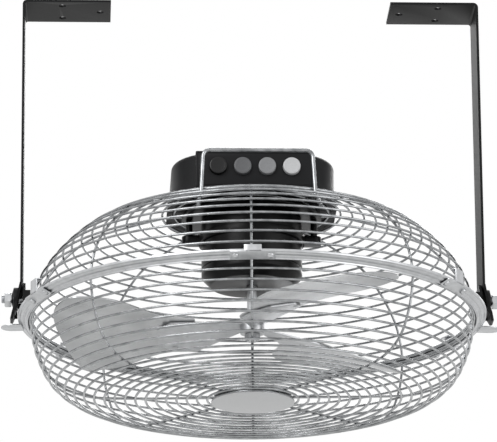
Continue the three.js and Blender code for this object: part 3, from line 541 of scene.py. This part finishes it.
def makeClampBand():
    b = bandSettings
    skin, rate = bandSkin()
    inner = ringRadius - b["width"]
    rise = (b["width"] - b["wall"]) * rate
    root = -b["start"] - skin / 2
    band = turned([
        (inner, -b["wallHalf"]), (inner + b["wall"], -b["wallHalf"]), (inner + b["wall"], root),
        *[(inner + b["wall"] + run, root + run * rate + lift) for run, lift in b["groove"]],
        (ringRadius, root + rise), (ringRadius, root + rise + b["lip"]),
        (ringRadius - b["wall"], root + rise + b["lip"]),
        (ringRadius - b["wall"], root + rise + skin - b["wall"] * rate),
        (inner + b["wall"], root + skin), (inner + b["wall"], b["wallHalf"]), (inner, b["wallHalf"]),
    ], 180, b["soften"])
    finishOnHead("clampBand", band, "plated_steel", "clamp_ring", 50)


# Carrying handle: an upright bow whose legs pass between two rings and run down inside the rear guard
handleSettings = {
    "wire": 2.35, "half": 66.5, "rise": 49.0, "bend": 9.0, "inward": 3.0, "splay": 4.0, "footShare": 0.742,
    "tailShare": 0.86, "sink": 2.4, "heelBend": 3.0, "ringReach": 1.8,
}


def nearestOnGuard(side, radius, distance):
    points = guardProfile(side, 201)
    directions = inwardDirections(points)
    i = min(range(len(points)), key=lambda k: abs(points[k].x - radius))
    return points[i] + directions[i] * distance


def roundedRoute(corners, bend, count=8):
    route = [corners[0]]
    for before, at, after in zip(corners, corners[1:], corners[2:]):
        first = at + (before - at).normalized() * bend
        last = at + (after - at).normalized() * bend
        for i in range(count + 1):
            t = i / count
            route.append(first * (1 - t) ** 2 + at * 2 * t * (1 - t) + last * t ** 2)
    return route + [corners[-1]]


def makeHandle():
    h = handleSettings
    cageRadius = guardSettings["cageRadius"]
    rings = [p.x for p in guardProfile("rear", guardSettings["rear"]["rings"])]
    beyond = next(i for i, radius in enumerate(rings) if radius < cageRadius * h["footShare"])
    foot = (rings[beyond - 1] + rings[beyond]) / 2
    reach = h["ringReach"] + clearance + h["wire"]

    def onGuard(share, x):
        p = nearestOnGuard("rear", cageRadius * share, reach)
        return Vector((x, -math.sqrt(p.x ** 2 - x ** 2), p.y))

    low = nearestOnGuard("rear", foot, 0).y
    heel = Vector((h["half"], -math.sqrt(foot ** 2 - h["half"] ** 2), low - reach - h["sink"]))
    knuckle = Vector((h["half"] - h["inward"], heel.y, low + h["rise"]))
    tail = onGuard(h["tailShare"], h["half"] + h["splay"])
    middle = onGuard((h["tailShare"] + h["footShare"]) / 2, h["half"] + h["splay"] / 2)
    right = [tail, middle] + roundedRoute([middle, heel, knuckle], h["heelBend"])[1:-1] + [knuckle]
    left = [Vector((-p.x, p.y, p.z)) for p in reversed(right[:-1])]
    top = roundedRoute([right[-2], knuckle, Vector((-knuckle.x, knuckle.y, knuckle.z)), left[0]], h["bend"])
    bow = bentWire(right[:-1] + top[1:-1] + left, h["wire"], 5)
    finishOnHead("wireHandle", bow, "bright_wire", "carry_handle", 60)


makeCamera()
for side in ("front", "rear"):
    makeGuard(side)
makeClampBand()
makeHandle()
print("cage made")


# Strip brackets: folded foot, straight arm, and an ear that leans outwards past the ring
bracketSettings = {
    "width": 70.0, "thickness": 3.0, "footLength": 107.0, "bend": 6.0, "inset": 6.0, "kneeRise": 12.0,
    "tailDrop": 27.0, "lean": 17.0, "shoulderRise": 10.0, "waistDrop": 8.0, "waistHalf": 19.0, "tipHalf": 11.0,
    "cheekDrop": 19.0, "holeRadius": 4.4, "holeSpread": 42.0, "pairInset": 48.0, "singleInset": 94.0,
    "pivotHole": 5.3, "cheekRise": 9.0, "soften": 0.45,
}
armInner = ringRadius - bracketSettings["inset"]
armOuter = armInner + bracketSettings["thickness"]


def makeBracket(side):
    b = bracketSettings
    half = b["width"] / 2
    slope = math.tan(math.radians(b["lean"]))
    knee = pivotZ + b["kneeRise"]
    centre = armInner + b["thickness"] / 2
    bendCentre = Vector((armOuter - b["bend"], -b["bend"]))
    bendRadius = b["bend"] - b["thickness"] / 2

    def leaning(z):
        return centre + max(0.0, knee - z) * slope

    # Middle line of the strip from its free end: x, z and half the width there
    line = [(armOuter - b["footLength"], -b["thickness"] / 2, half)]
    for i in range(9):
        turn = math.pi / 2 * (1 - i / 8)
        line.append((bendCentre.x + bendRadius * math.cos(turn), bendCentre.y + bendRadius * math.sin(turn),
                     half))
    line.append((centre, knee, half))
    for drop, wide in ((-b["shoulderRise"], half), (b["waistDrop"], b["waistHalf"]),
                       (b["cheekDrop"], b["waistHalf"]), (b["tailDrop"], b["tipHalf"])):
        line.append((leaning(pivotZ - drop), pivotZ - drop, wide))
    part = bmesh.new()
    before = None
    for x, z, wide in line:
        pair = [part.verts.new((x * mm, y * mm, z * mm)) for y in (-wide, wide)]
        if before:
            part.faces.new((before[0], before[1], pair[1], pair[0]))
        before = pair
    bmesh.ops.recalc_face_normals(part, faces=part.faces)
    made = bareObject(f"{side}StripBracket", part)
    shell = made.modifiers.new("shell", "SOLIDIFY")
    shell.thickness = b["thickness"] * mm
    shell.offset = 0
    shell.use_even_offset = True
    bakeModifiers(made)
    spots = ((armOuter - b["pairInset"], b["holeSpread"] / 2), (armOuter - b["pairInset"], -b["holeSpread"] / 2),
             (armOuter - b["singleInset"], 0))
    tools = [bareObject("drill", place(rod(b["holeRadius"], -12, 12, 40), (x, y, 0))) for x, y in spots]
    axle = place(rod(b["pivotHole"], -20, 20, 40), (centre, 0, pivotZ), alongX)
    carve(made, tools + [bareObject("drill", axle)])
    rim = ringRadius + clearance * 2
    wedge = [(leaning(pivotZ + b["cheekRise"]), pivotZ + b["cheekRise"]), (armInner, pivotZ + b["cheekRise"]),
             (armInner, pivotZ), (rim, pivotZ - b["waistDrop"] - clearance), (rim, pivotZ - b["cheekDrop"]),
             (leaning(pivotZ - b["cheekDrop"]), pivotZ - b["cheekDrop"])]
    cheeks = [bareObject("cheek", upright(wedge, low, low + b["thickness"]))
              for low in (-b["waistHalf"], b["waistHalf"] - b["thickness"])]
    carve(made, cheeks, "UNION")
    if side == "left":
        shiftMesh(made, 0, halfTurn)
    softenEdges(made, b["soften"])
    finishPiece(made, "ceiling_mount", "black_painted_steel", [f"{side}_bracket"], 20)


makeBracket("right")
makeBracket("left")
print("brackets made")


# Impeller: hub barrel with three pitched arms, and three pressed blades riveted to them
impellerSettings = {
    "bladeTip": 236.0, "bladeRoot": 68.0, "rootLead": 20.0, "rootTrail": 54.0, "lead": 84.0, "trail": 96.0,
    "bulgeRadius": 204.0, "shoulder": 214.0, "sweep": -25.0, "thickness": 1.6, "camber": 6.5, "chord": 101.0,
    "pitch": 12.9, "azimuth": 176.0, "level": -14.0, "lift": 1.9, "hubRadius": 14.5, "hubLow": -4.0,
    "hubHigh": 20.0, "armHalf": 34.0, "armOffset": 20.0, "armInner": 12.0, "armOuter": 114.0,
    "armThickness": 2.5, "rivets": ((-5, 103), (20, 82), (46, 94)), "rivetRadius": 4.5, "rivetHeight": 1.6,
    "bore": 6.3, "nutFlats": 16.0, "nutHeight": 7.0, "bladeSoften": 0.5, "armRoot": 10.15, "longEdge": 12.0,
    "bladeColumns": 28,
}


def bezier(points, t):
    while len(points) > 1:
        points = [p.lerp(q, t) for p, q in zip(points, points[1:])]
    return points[0]


# One edge of the blade from root to tip, in two Bezier pieces; side is 1 for the trailing edge
def bladeEdge(side, count=60):
    s = impellerSettings
    root, wide = (s["rootTrail"], s["trail"]) if side > 0 else (s["rootLead"], s["lead"])
    middle = (s["bladeRoot"] + s["bulgeRadius"]) / 2
    flank = [Vector((side * x, y)) for x, y in ((root, s["bladeRoot"]), (root, middle), (wide, middle),
                                                (wide, s["bulgeRadius"]))]
    crown = [Vector(p) for p in ((side * wide, s["bulgeRadius"]), (side * wide, s["shoulder"]),
                                 (side * wide / 2 + s["sweep"], s["bladeTip"]), (s["sweep"], s["bladeTip"]))]
    return [bezier(flank, i / count) for i in range(count)] + [bezier(crown, i / count) for i in range(count + 1)]


def camber(x):
    s = impellerSettings
    return s["camber"] * (1 - (x / s["chord"]) ** 2)


def bladeTurn(i):
    s = impellerSettings
    turn = Matrix.Rotation(math.radians(s["azimuth"] - 90 + 120 * i), 4, "Z")
    return turn @ Matrix.Rotation(math.radians(s["pitch"]), 4, "Y")


def makeBlade(i):
    s = impellerSettings
    lead, trail = bladeEdge(-1), bladeEdge(1)
    rows = len(lead) - 1
    part = bmesh.new()
    bmesh.ops.create_grid(part, x_segments=s["bladeColumns"], y_segments=rows, size=1.0)
    for v in part.verts:
        row = min(rows, max(0, round((v.co.y + 1) / 2 * rows)))
        spot = lead[row].lerp(trail[row], (v.co.x + 1) / 2)
        v.co = Vector((spot.x, spot.y, s["lift"] + camber(spot.x))) * mm
    bmesh.ops.remove_doubles(part, verts=part.verts, dist=1e-5)
    bmesh.ops.recalc_face_normals(part, faces=part.faces)
    if sum(f.normal.z for f in part.faces) < 0:
        bmesh.ops.reverse_faces(part, faces=part.faces)
    made = bareObject(f"pressedBlade{i + 1}", part)
    shell = made.modifiers.new("shell", "SOLIDIFY")
    shell.thickness = s["thickness"] * mm
    shell.offset = -1
    softenEdges(made, s["bladeSoften"])
    shiftMesh(made, ringZ + s["level"], bladeTurn(i))
    finishPiece(made, "impeller", "blade_aluminium", [f"fan_blade_{i + 1}"], 40)


def makeHub():
    s = impellerSettings
    whole = bmesh.new()
    addPart(whole, tube(s["bore"], s["hubRadius"], s["hubLow"], s["hubHigh"], 64, 0.8))
    middle, half, far = s["armOffset"], s["armHalf"], s["armOuter"]
    outline = [(-s["armRoot"], s["armInner"]), (s["armRoot"], s["armInner"]),
               (middle + half, s["bladeRoot"]), (middle + half, far - half / 2), (middle + half / 2, far),
               (middle - half / 2, far), (middle - half, far - half / 2), (middle - half, s["bladeRoot"])]
    for i in range(3):
        limb = prism(outline, -s["armThickness"], 0, 0.5)
        long = [e for e in limb.edges if e.calc_length() > s["longEdge"] * mm]
        bmesh.ops.subdivide_edges(limb, edges=long, cuts=6, use_grid_fill=True)
        for v in limb.verts:
            v.co.z += camber(v.co.x / mm) * mm
        for x, y in s["rivets"]:
            for z in (s["lift"] + camber(x), camber(x) - s["armThickness"]):
                addPart(limb, place(dome(s["rivetRadius"], s["rivetHeight"]), (x, y, z)))
        addPart(whole, place(limb, turn=bladeTurn(i)))
    made = bareObject("hubSpider", place(whole, (0, 0, ringZ + s["level"])))
    finishPiece(made, "impeller", "plated_steel", ["blade_hub"], 35)


for i in range(3):
    makeBlade(i)
makeHub()
print("impeller made")


# Motor: case, end bell below it, mounting plate above it, and a yoke with two lugs
motorSettings = {
    "radius": 60.5, "top": 123.35, "bottom": 41.35, "bell": 20.0, "bellInset": 10.5, "bellStraight": 9.0,
    "wall": 2.5, "bore": 6.6, "plateRadius": 84.0, "plateLow": 123.65, "plateHigh": 126.65, "plateHole": 16.0,
    "yokeLow": 93.0, "yokeHigh": 103.0, "yokeWall": 3.0, "lugReach": 84.0, "lugHalf": 9.0, "postRadius": 4.0,
    "postInset": 9.0, "lid": 3.0, "lidBevel": 2.5,
}


def makeMotor():
    m = motorSettings
    low = m["bottom"] + m["bell"]
    inner = m["radius"] - m["wall"]
    case = turned([
        (m["bore"], m["top"] - m["lid"]), (inner, m["top"] - m["lid"]), (inner, low + clearance),
        (m["radius"], low + clearance), (m["radius"], m["top"] - m["lidBevel"]),
        (m["radius"] - m["lidBevel"], m["top"]), (m["bore"], m["top"]),
    ], 120, 0.5)
    finishOnHead("motorCase", case, "dark_motor_paint", "motor_housing", 40)

    small = m["radius"] - m["bellInset"]
    knee = low - m["bellStraight"]
    bell = turned([
        (m["bore"], m["bottom"]), (small, m["bottom"]), (m["radius"], knee), (m["radius"], low), (inner, low),
        (inner, knee + m["wall"]), (small - m["wall"], m["bottom"] + m["lid"]), (m["bore"], m["bottom"] + m["lid"]),
    ], 120, 1.4)
    finishOnHead("motorEndBell", bell, "dark_motor_paint", "motor_end_bell", 40)

    plate = tube(m["plateHole"], m["plateRadius"], m["plateLow"], m["plateHigh"], 96, 0.6)
    finishOnHead("motorPlate", plate, "dark_motor_paint", "motor_mount_plate", 40)

    whole = bmesh.new()
    hug = m["radius"] + clearance
    addPart(whole, tube(hug, hug + m["yokeWall"], m["yokeLow"], m["yokeHigh"], 96, 0.5))
    for turn in (0, math.pi):
        outline = roundedTongue(hug + clearance, m["lugReach"], m["lugHalf"], 16)
        lug = prism(outline, m["yokeLow"], m["yokeHigh"], 0.8)
        post = rod(m["postRadius"], m["yokeHigh"] - 1, m["plateLow"] - clearance, 24, 0.3)
        addPart(lug, place(post, (m["lugReach"] - m["postInset"], 0, 0)))
        addPart(whole, place(lug, turn=Matrix.Rotation(turn, 4, "Z")))
    finishOnHead("motorYoke", whole, "dark_motor_paint", "motor_yoke", 40)


makeMotor()
print("motor made")


# Badge: a bare domed disc under the front guard
badgeSettings = {"radius": 49.5, "top": -101.1, "rim": 2.0, "crown": 2.4, "stud": 6.0, "studTop": -95.25}


def makeBadge():
    b = badgeSettings
    rows = 8
    below = [(b["radius"] * math.sqrt(1 - i / rows), b["top"] - b["rim"] - b["crown"] * i / rows)
             for i in range(rows + 1)]
    disc = turned([(0, b["studTop"]), (b["stud"], b["studTop"]), (b["stud"], b["top"]), (b["radius"], b["top"])]
                  + below, 120, 0.3)
    finishOnHead("badgeDisc", disc, "badge_aluminium", "badge_disc", 35)


makeBadge()
print("badge made")


# Control housing: deep rounded cover with a spreading skirt, and a button panel in a shallow box in front
coverSettings = {
    "half": 97.5, "corner": 58.8, "bottom": 132.8, "height": 47.0, "wall": 2.6, "edge": 7.0, "flare": 4.5,
    "flareHeight": 15.0, "panelHalf": 70.0, "panelHeight": 45.0, "panelReach": 7.0, "glandHole": 8.3,
    "glandRise": 29.0, "screwInset": 17.0, "screwHole": 2.3,
}


def roundedSquare(half, corner, count=14):
    flat = half - corner
    outline = []
    for quarter, (sx, sy) in enumerate(((1, 1), (-1, 1), (-1, -1), (1, -1))):
        for i in range(count + 1):
            turn = (quarter + i / count) * math.pi / 2
            outline.append((sx * flat + corner * math.cos(turn), sy * flat + corner * math.sin(turn)))
    return outline


def domedBlock(half, corner, low, high, edge):
    part = prism(roundedSquare(half, corner), low, high)
    rims = [e for e in part.edges if all(abs(v.co.z - high * mm) < 1e-7 for v in e.verts)]
    bmesh.ops.bevel(part, geom=rims, offset=edge * mm, offset_type="OFFSET", segments=8, profile=0.5,
                    affect="EDGES", material=-1, clamp_overlap=True)
    bmesh.ops.recalc_face_normals(part, faces=part.faces)
    return part


def screwPlaces():
    c = coverSettings
    side = c["half"] - c["screwInset"] - c["corner"] * (1 - math.sqrt(0.5))
    return [(side, side), (-side, side), (-side, -side), (side, -side)]


def makeCover():
    c = coverSettings
    top = c["bottom"] + c["height"]
    face = -(c["half"] + c["panelReach"])
    made = bareObject("controlCover", domedBlock(c["half"], c["corner"], c["bottom"], top, c["edge"]))
    skirt = prism(roundedSquare(c["half"], c["corner"]), c["bottom"], c["bottom"] + c["flareHeight"])
    spread = (c["half"] + c["flare"]) / c["half"]
    low = [v for v in skirt.verts if abs(v.co.z - c["bottom"] * mm) < 1e-7]
    bmesh.ops.scale(skirt, vec=(spread, spread, 1), verts=low)
    box = roundedBox((c["panelHalf"] * 2, c["panelReach"] * 3, c["panelHeight"]),
                     (0, face + c["panelReach"] * 1.5, c["bottom"] + c["panelHeight"] / 2), 1.6, 4)
    carve(made, [bareObject("skirt", skirt), bareObject("box", box)], "UNION")
    inner = domedBlock(c["half"] - c["wall"], c["corner"] - c["wall"], c["bottom"] - 5, top - c["wall"],
                       c["edge"] - c["wall"])
    window = roundedBox(((c["panelHalf"] - c["wall"]) * 2, c["panelReach"] * 3, c["panelHeight"] - c["wall"] * 2),
                        (0, face + c["panelReach"] * 1.5 - clearance, c["bottom"] + c["panelHeight"] / 2), 0.2, 1)
    bore = place(rod(c["glandHole"], -10, 10, 40), (0, c["half"], c["bottom"] + c["glandRise"]), towardsFront)
    tools = [bareObject("inner", inner), bareObject("window", window), bareObject("bore", bore)]
    for x, y in screwPlaces():
        tools.append(bareObject("hole", place(rod(c["screwHole"], top - 10, top + 5, 20), (x, y, 0))))
    carve(made, tools)
    shiftMesh(made, ringZ)
    finishPiece(made, "fan_head", "black_plastic", ["control_cover"], 30)


makeCover()
print("control housing made")


# Latch clips: a riveted plate under the flange, and a tab hooked over the ring's edge
clipSettings = {
    "angles": (-92.3, -33.5, 28.0, 86.0, 143.0, 202.5), "plateHalf": 26.0, "thickness": 1.5, "hook": 6.0,
    "rivetSpread": 40.0, "rivetRadius": 4.4, "rivetHeight": 1.6, "frontTab": (10.0, 4.0), "tab": (9.0, 13.0),
}


def makeClip(i):
    c = clipSettings
    skin, rate = bandSkin()
    tabHalf, tabRise = c["frontTab"] if i == 0 else c["tab"]
    slope = math.radians(bandSettings["slope"])
    drop = c["thickness"] / math.cos(slope)
    start = ringRadius - bandSettings["width"] + bandSettings["wall"] + clearance
    edge = ringRadius + clearance

    def under(x):
        return -bandSettings["start"] - skin / 2 + (x - start + clearance) * rate - clearance / math.cos(slope)

    whole = bmesh.new()
    out = edge + c["thickness"]
    addPart(whole, upright([(start, under(start)), (start, under(start) - drop), (out, under(out) - drop),
                            (out, under(out))], -c["plateHalf"], c["plateHalf"], 0.5))
    top = bandSettings["start"] + tabRise
    root = under(edge) - drop / 2
    addPart(whole, upright([(edge, root), (out, root), (out, top), (edge - c["hook"], top),
                            (edge - c["hook"], top - c["thickness"]), (edge, top - c["thickness"])],
                           -tabHalf, tabHalf, 0.4))
    middle = (start + edge) / 2
    for y in (-c["rivetSpread"] / 2, c["rivetSpread"] / 2):
        addPart(whole, place(dome(c["rivetRadius"], c["rivetHeight"] * 1.6), (middle, y, under(middle) - drop),
                             Matrix.Rotation(-slope, 4, "Y")))
    place(whole, turn=Matrix.Rotation(math.radians(c["angles"][i]), 4, "Z"))
    finishOnHead(f"latchClip{i + 1}", whole, "plated_steel", f"latch_clip_{i + 1}", 35)


# Rounded tabs below the ring's edge, with softened edges
tabSettings = {"half": 13.0, "reach": 22.0, "thickness": 1.6, "offset": 29.0, "underlap": 4.0, "soften": 0.5}


def makeTiltTab(side):
    t = tabSettings
    skin, rate = bandSkin()
    near = ringRadius - t["underlap"]
    outline = roundedTongue(near, ringRadius + t["reach"], t["half"], 24)
    run = near - (ringRadius - bandSettings["width"] + bandSettings["wall"])
    top = -bandSettings["start"] - skin / 2 + run * rate - clearance
    turn = math.asin(t["offset"] / ringRadius)
    angle = turn if side == "right" else math.pi - turn
    tab = place(prism(outline, top - t["thickness"], top, t["soften"]), turn=Matrix.Rotation(angle, 4, "Z"))
    finishOnHead(f"{side}TiltTab", tab, "plated_steel", f"{side}_tilt_tab", 35)


# Pivot on the tilt axis, from the ring outwards: channel plate, ear, wedge bush, hexagon nut, threaded stud
pivotSettings = {
    "studRadius": 5.0, "studReach": 19.6, "headRadius": 10.0, "headHeight": 4.0, "threadPitch": 1.25,
    "threadDepth": 0.55, "plateThickness": 3.0, "bushRadius": 14.0, "bushReach": 6.7, "rimDrop": 2.5,
    "nutFlats": 17.0, "nutHeight": 8.0, "nutBevel": 1.2,
}


def makePivot(side):
    v = pivotSettings
    turn = halfTurn if side == "left" else Matrix.Identity(4)
    toX = turn @ alongX
    slope = math.tan(math.radians(bracketSettings["lean"]))
    knee = bracketSettings["kneeRise"]
    face = armOuter + knee * slope + v["bushReach"]
    head = armInner - clearance - v["plateThickness"] - clearance
    end = ringRadius + v["studReach"]
    profile = [(0, head - v["headHeight"]), (v["headRadius"] * 0.7, head - v["headHeight"]),
               (v["headRadius"], head - v["headHeight"] / 2), (v["headRadius"], head), (v["studRadius"], head),
               (v["studRadius"], face + v["nutHeight"] - 1)]
    x = profile[-1][1]
    while x < end - 2:
        profile += [(v["studRadius"], x + 0.2), (v["studRadius"] - v["threadDepth"], x + 0.6)]
        x += v["threadPitch"]
    profile += [(v["studRadius"], end - 1), (v["studRadius"] - 1, end), (0, end)]
    made = bareObject(f"{side}PivotStud", place(turned(profile, 40), (0, 0, pivotZ), toX))
    finishPiece(made, "fan_head", "plated_steel", [f"{side}_pivot_stud"], 30)

    start = face + clearance
    bore = v["studRadius"] + clearance
    made = hexagonNut(v["nutFlats"], bore, start, start + v["nutHeight"], v["nutBevel"], True)
    made.name = f"{side}PivotNut"
    shiftMesh(made, pivotZ, toX)
    finishPiece(made, "fan_head", "plated_steel", [f"{side}_pivot_nut"], 30)

    wedge = turned([(bore, armInner), (v["bushRadius"], armInner), (v["bushRadius"], face - v["rimDrop"]),
                    (bore, face)], 64, 0.8)
    made = bareObject("bush", place(wedge, turn=alongX))
    back = armOuter + clearance / math.cos(math.radians(bracketSettings["lean"]))
    ear = upright([(armInner - 5, 20), (back, 20), (back, knee), (back + (knee + 20) * slope, -20),
                   (armInner - 5, -20)], -20, 20)
    carve(made, [bareObject("ear", ear)])
    made.name = f"{side}PivotBush"
    shiftMesh(made, pivotZ, turn)
    finishPiece(made, "ceiling_mount", "black_plastic", [f"{side}_pivot_bush"], 30)


for i in range(len(clipSettings["angles"])):
    makeClip(i)
for side in ("left", "right"):
    makeTiltTab(side)
    makePivot(side)
print("clips, tabs and pivots made")


# Button panel and four push buttons, each with a shallow dish and a softened rim
buttonSettings = {
    "radius": 10.4, "spacing": 29.0, "proud": 5.5, "travel": 4.0, "rise": 25.5, "skirt": 1.6,
    "skirtHeight": 2.0, "dish": 0.6, "panelThickness": 2.6, "rimRound": 0.45, "rimDrop": 0.5,
    "names": ("stop_button", "low_speed_button", "medium_speed_button", "high_speed_button"),
    "pieces": ("stopButton", "lowSpeedButton", "mediumSpeedButton", "highSpeedButton"),
}


def makeButtons():
    b = buttonSettings
    c = coverSettings
    face = -(c["half"] + c["panelReach"])
    height = c["bottom"] + b["rise"]
    places = [((i - 1.5) * b["spacing"], face, height) for i in range(4)]
    back = b["panelThickness"] + clearance
    rim = b["radius"]
    for name, piece, spot in zip(b["names"], b["pieces"], places):
        end = -back - b["travel"] - b["skirtHeight"]
        profile = [(0, end), (rim + b["skirt"], end), (rim + b["skirt"], -back), (rim, -back),
                   (rim, b["proud"] - b["skirt"]), (rim - b["rimRound"], b["proud"] - b["rimDrop"]),
                   (rim - b["skirt"], b["proud"])]
        profile += [(rim * k, b["proud"] - b["dish"] * (1 - k * k)) for k in (0.75, 0.6, 0.4, 0.2, 0)]
        made = bareObject(piece, place(turned(profile, 64), (spot[0], spot[1], spot[2] + ringZ), towardsFront))
        finishPiece(made, name, slotOfNode[name], [name], 40)
    low = c["bottom"] + c["wall"] + clearance
    high = c["bottom"] + c["panelHeight"] - c["wall"] - clearance
    half = c["panelHalf"] - c["wall"] - clearance
    made = bareObject("buttonPanel", roundedBox((half * 2, b["panelThickness"], high - low),
                                                (0, face + b["panelThickness"] / 2, (low + high) / 2), 0.5, 2))
    carve(made, [bareObject("hole", place(rod(rim + clearance, -8, 8, 64), spot, towardsFront))
                 for spot in places])
    shiftMesh(made, ringZ)
    finishPiece(made, "fan_head", "black_plastic", ["button_panel"], 30)


slotOfNode = {row["node"]: row["material_slot"] for row in frame["record"]["subparts"]}
makeButtons()


# Small fittings: clamp plate over the badge, hub nut, cable gland, and the cover's cross-head screws
fittingSettings = {
    "clampRadius": 46.0, "clampLow": -94.65, "clampHigh": -92.65, "glandRadius": 8.0, "glandFlange": 11.0,
    "glandReach": 13.0, "glandBore": 4.0, "glandSeat": 3.0, "screwHead": 4.0, "screwHeight": 2.2,
    "screwDepth": 9.0, "screwRadius": 2.0, "slots": ((4.6, 0.9, 2.4), (0.9, 4.6, 2.4)), "nutBevel": 1.1,
}


def makeFittings():
    f = fittingSettings
    c = coverSettings
    s = impellerSettings
    plate = rod(f["clampRadius"], f["clampLow"], f["clampHigh"], 96, 0.5)
    finishOnHead("badgeClampPlate", plate, "plated_steel", "badge_clamp_plate", 35)

    high = s["hubLow"] - clearance
    made = hexagonNut(s["nutFlats"], s["bore"], high - s["nutHeight"], high, f["nutBevel"], False)
    made.name = "hubNut"
    shiftMesh(made, ringZ + s["level"])
    finishPiece(made, "impeller", "plated_steel", ["hub_nut"], 30)

    wall = c["half"] + clearance
    inside = c["half"] - c["wall"] - f["glandSeat"]
    gland = turned([(f["glandBore"], inside), (f["glandRadius"], inside), (f["glandRadius"], wall),
                    (f["glandFlange"], wall), (f["glandFlange"], wall + f["glandSeat"]),
                    (f["glandRadius"], wall + f["glandSeat"] + f["glandReach"] / 2),
                    (f["glandRadius"] * 0.8, wall + f["glandReach"]),
                    (f["glandBore"], wall + f["glandReach"])], 64, 0.4)
    place(gland, (0, 0, c["bottom"] + c["glandRise"] + ringZ), Matrix.Rotation(-math.pi / 2, 4, "X"))
    finishPiece(bareObject("cableGland", gland), "fan_head", "black_plastic", ["cable_gland"], 30)

    top = c["bottom"] + c["height"] + clearance
    for i, (x, y) in enumerate(screwPlaces()):
        screw = turned([(0, top - f["screwDepth"]), (f["screwRadius"], top - f["screwDepth"]), (f["screwRadius"], top),
                        (f["screwHead"], top), (f["screwHead"] * 0.8, top + f["screwHeight"]),
                        (0, top + f["screwHeight"])], 32, 0.25)
        made = bareObject(f"coverScrew{i + 1}", screw)
        carve(made, [bareObject("slot", roundedBox(size, (0, 0, top + f["screwHeight"]), 0.1, 1))
                     for size in f["slots"]])
        made.data.transform(Matrix.Translation(Vector((x, y, ringZ)) * mm))
        finishPiece(made, "fan_head", "plated_steel", [f"cover_screw_{i + 1}"], 30)


makeFittings()
print("buttons and fittings made")


# The nodes that keep their solid shape get their finish here
for name, node in nodes.items():
    material = slotMaterials[slotOfNode[name]]
    node.data.materials.clear()
    node.data.materials.append(material)
print("finishes given to", len(nodes), "nodes")


# Stage: a pale floor far below, a white background, and soft lamps
stageSettings = {"floorDrop": 6.0, "floorSize": 40.0, "floorColour": "#e9e9e7", "floorLift": 0.38,
                 "ambient": 0.62}
lampSettings = [
    {"name": "keyLamp", "at": (-2.6, -3.2, 1.6), "size": 2.4, "power": 105},
    {"name": "fillLamp", "at": (3.0, -2.6, -0.4), "size": 2.6, "power": 45},
    {"name": "backLamp", "at": (0.8, 3.2, 1.8), "size": 2.4, "power": 80},
]


# 1 for the rays that show the background: from the camera, or by way of gloss or glass
def backgroundRays(tree):
    rays = addNode(tree, "ShaderNodeLightPath").outputs
    seen = addNode(tree, "ShaderNodeMath", None, {0: rays["Is Camera Ray"], 1: rays["Is Glossy Ray"]},
                   operation="ADD", use_clamp=True)
    return addNode(tree, "ShaderNodeMath", None, {0: seen.outputs[0], 1: rays["Is Transmission Ray"]},
                   operation="ADD", use_clamp=True).outputs[0]


def makeStage():
    s = stageSettings
    part = bmesh.new()
    bmesh.ops.create_grid(part, x_segments=1, y_segments=1, size=s["floorSize"] / 2)
    bmesh.ops.translate(part, vec=(0, 0, -s["floorDrop"]), verts=part.verts)
    floor = bareObject("paleFloor", part)
    material, tree, shader, _ = startMaterial("paleFloor")
    shader.inputs["Base Color"].default_value = linear(s["floorColour"])
    shader.inputs["Roughness"].default_value = 0.8
    lift = addNode(tree, "ShaderNodeMath", {1: s["floorLift"]}, {0: backgroundRays(tree)}, operation="MULTIPLY")
    tree.links.new(lift.outputs[0], shader.inputs["Emission Strength"])
    shader.inputs["Emission Color"].default_value = (1, 1, 1, 1)
    floor.data.materials.append(material)

    world = bpy.data.worlds.new("studio")
    bpy.context.scene.world = world
    world.use_nodes = True
    tree = world.node_tree
    tree.nodes.clear()
    room = addNode(tree, "ShaderNodeBackground", {"Color": (1, 1, 1, 1), "Strength": s["ambient"]})
    backdrop = addNode(tree, "ShaderNodeBackground", {"Color": (1, 1, 1, 1), "Strength": 1.0})
    mixed = addNode(tree, "ShaderNodeMixShader", None,
                    {0: backgroundRays(tree), 1: room.outputs[0], 2: backdrop.outputs[0]})
    addNode(tree, "ShaderNodeOutputWorld", None, {"Surface": mixed.outputs[0]})

    target = Vector((0, 0, -0.3))
    for lamp in lampSettings:
        data = bpy.data.lights.new(lamp["name"], "AREA")
        data.shape = "SQUARE"
        data.size = lamp["size"]
        data.energy = lamp["power"]
        light = bpy.data.objects.new(lamp["name"], data)
        light.location = lamp["at"]
        light.rotation_euler = (target - Vector(lamp["at"])).to_track_quat("-Z", "Y").to_euler()
        bpy.context.scene.collection.objects.link(light)


makeStage()
bpy.context.scene.view_settings.view_transform = "Standard"
print("stage made")
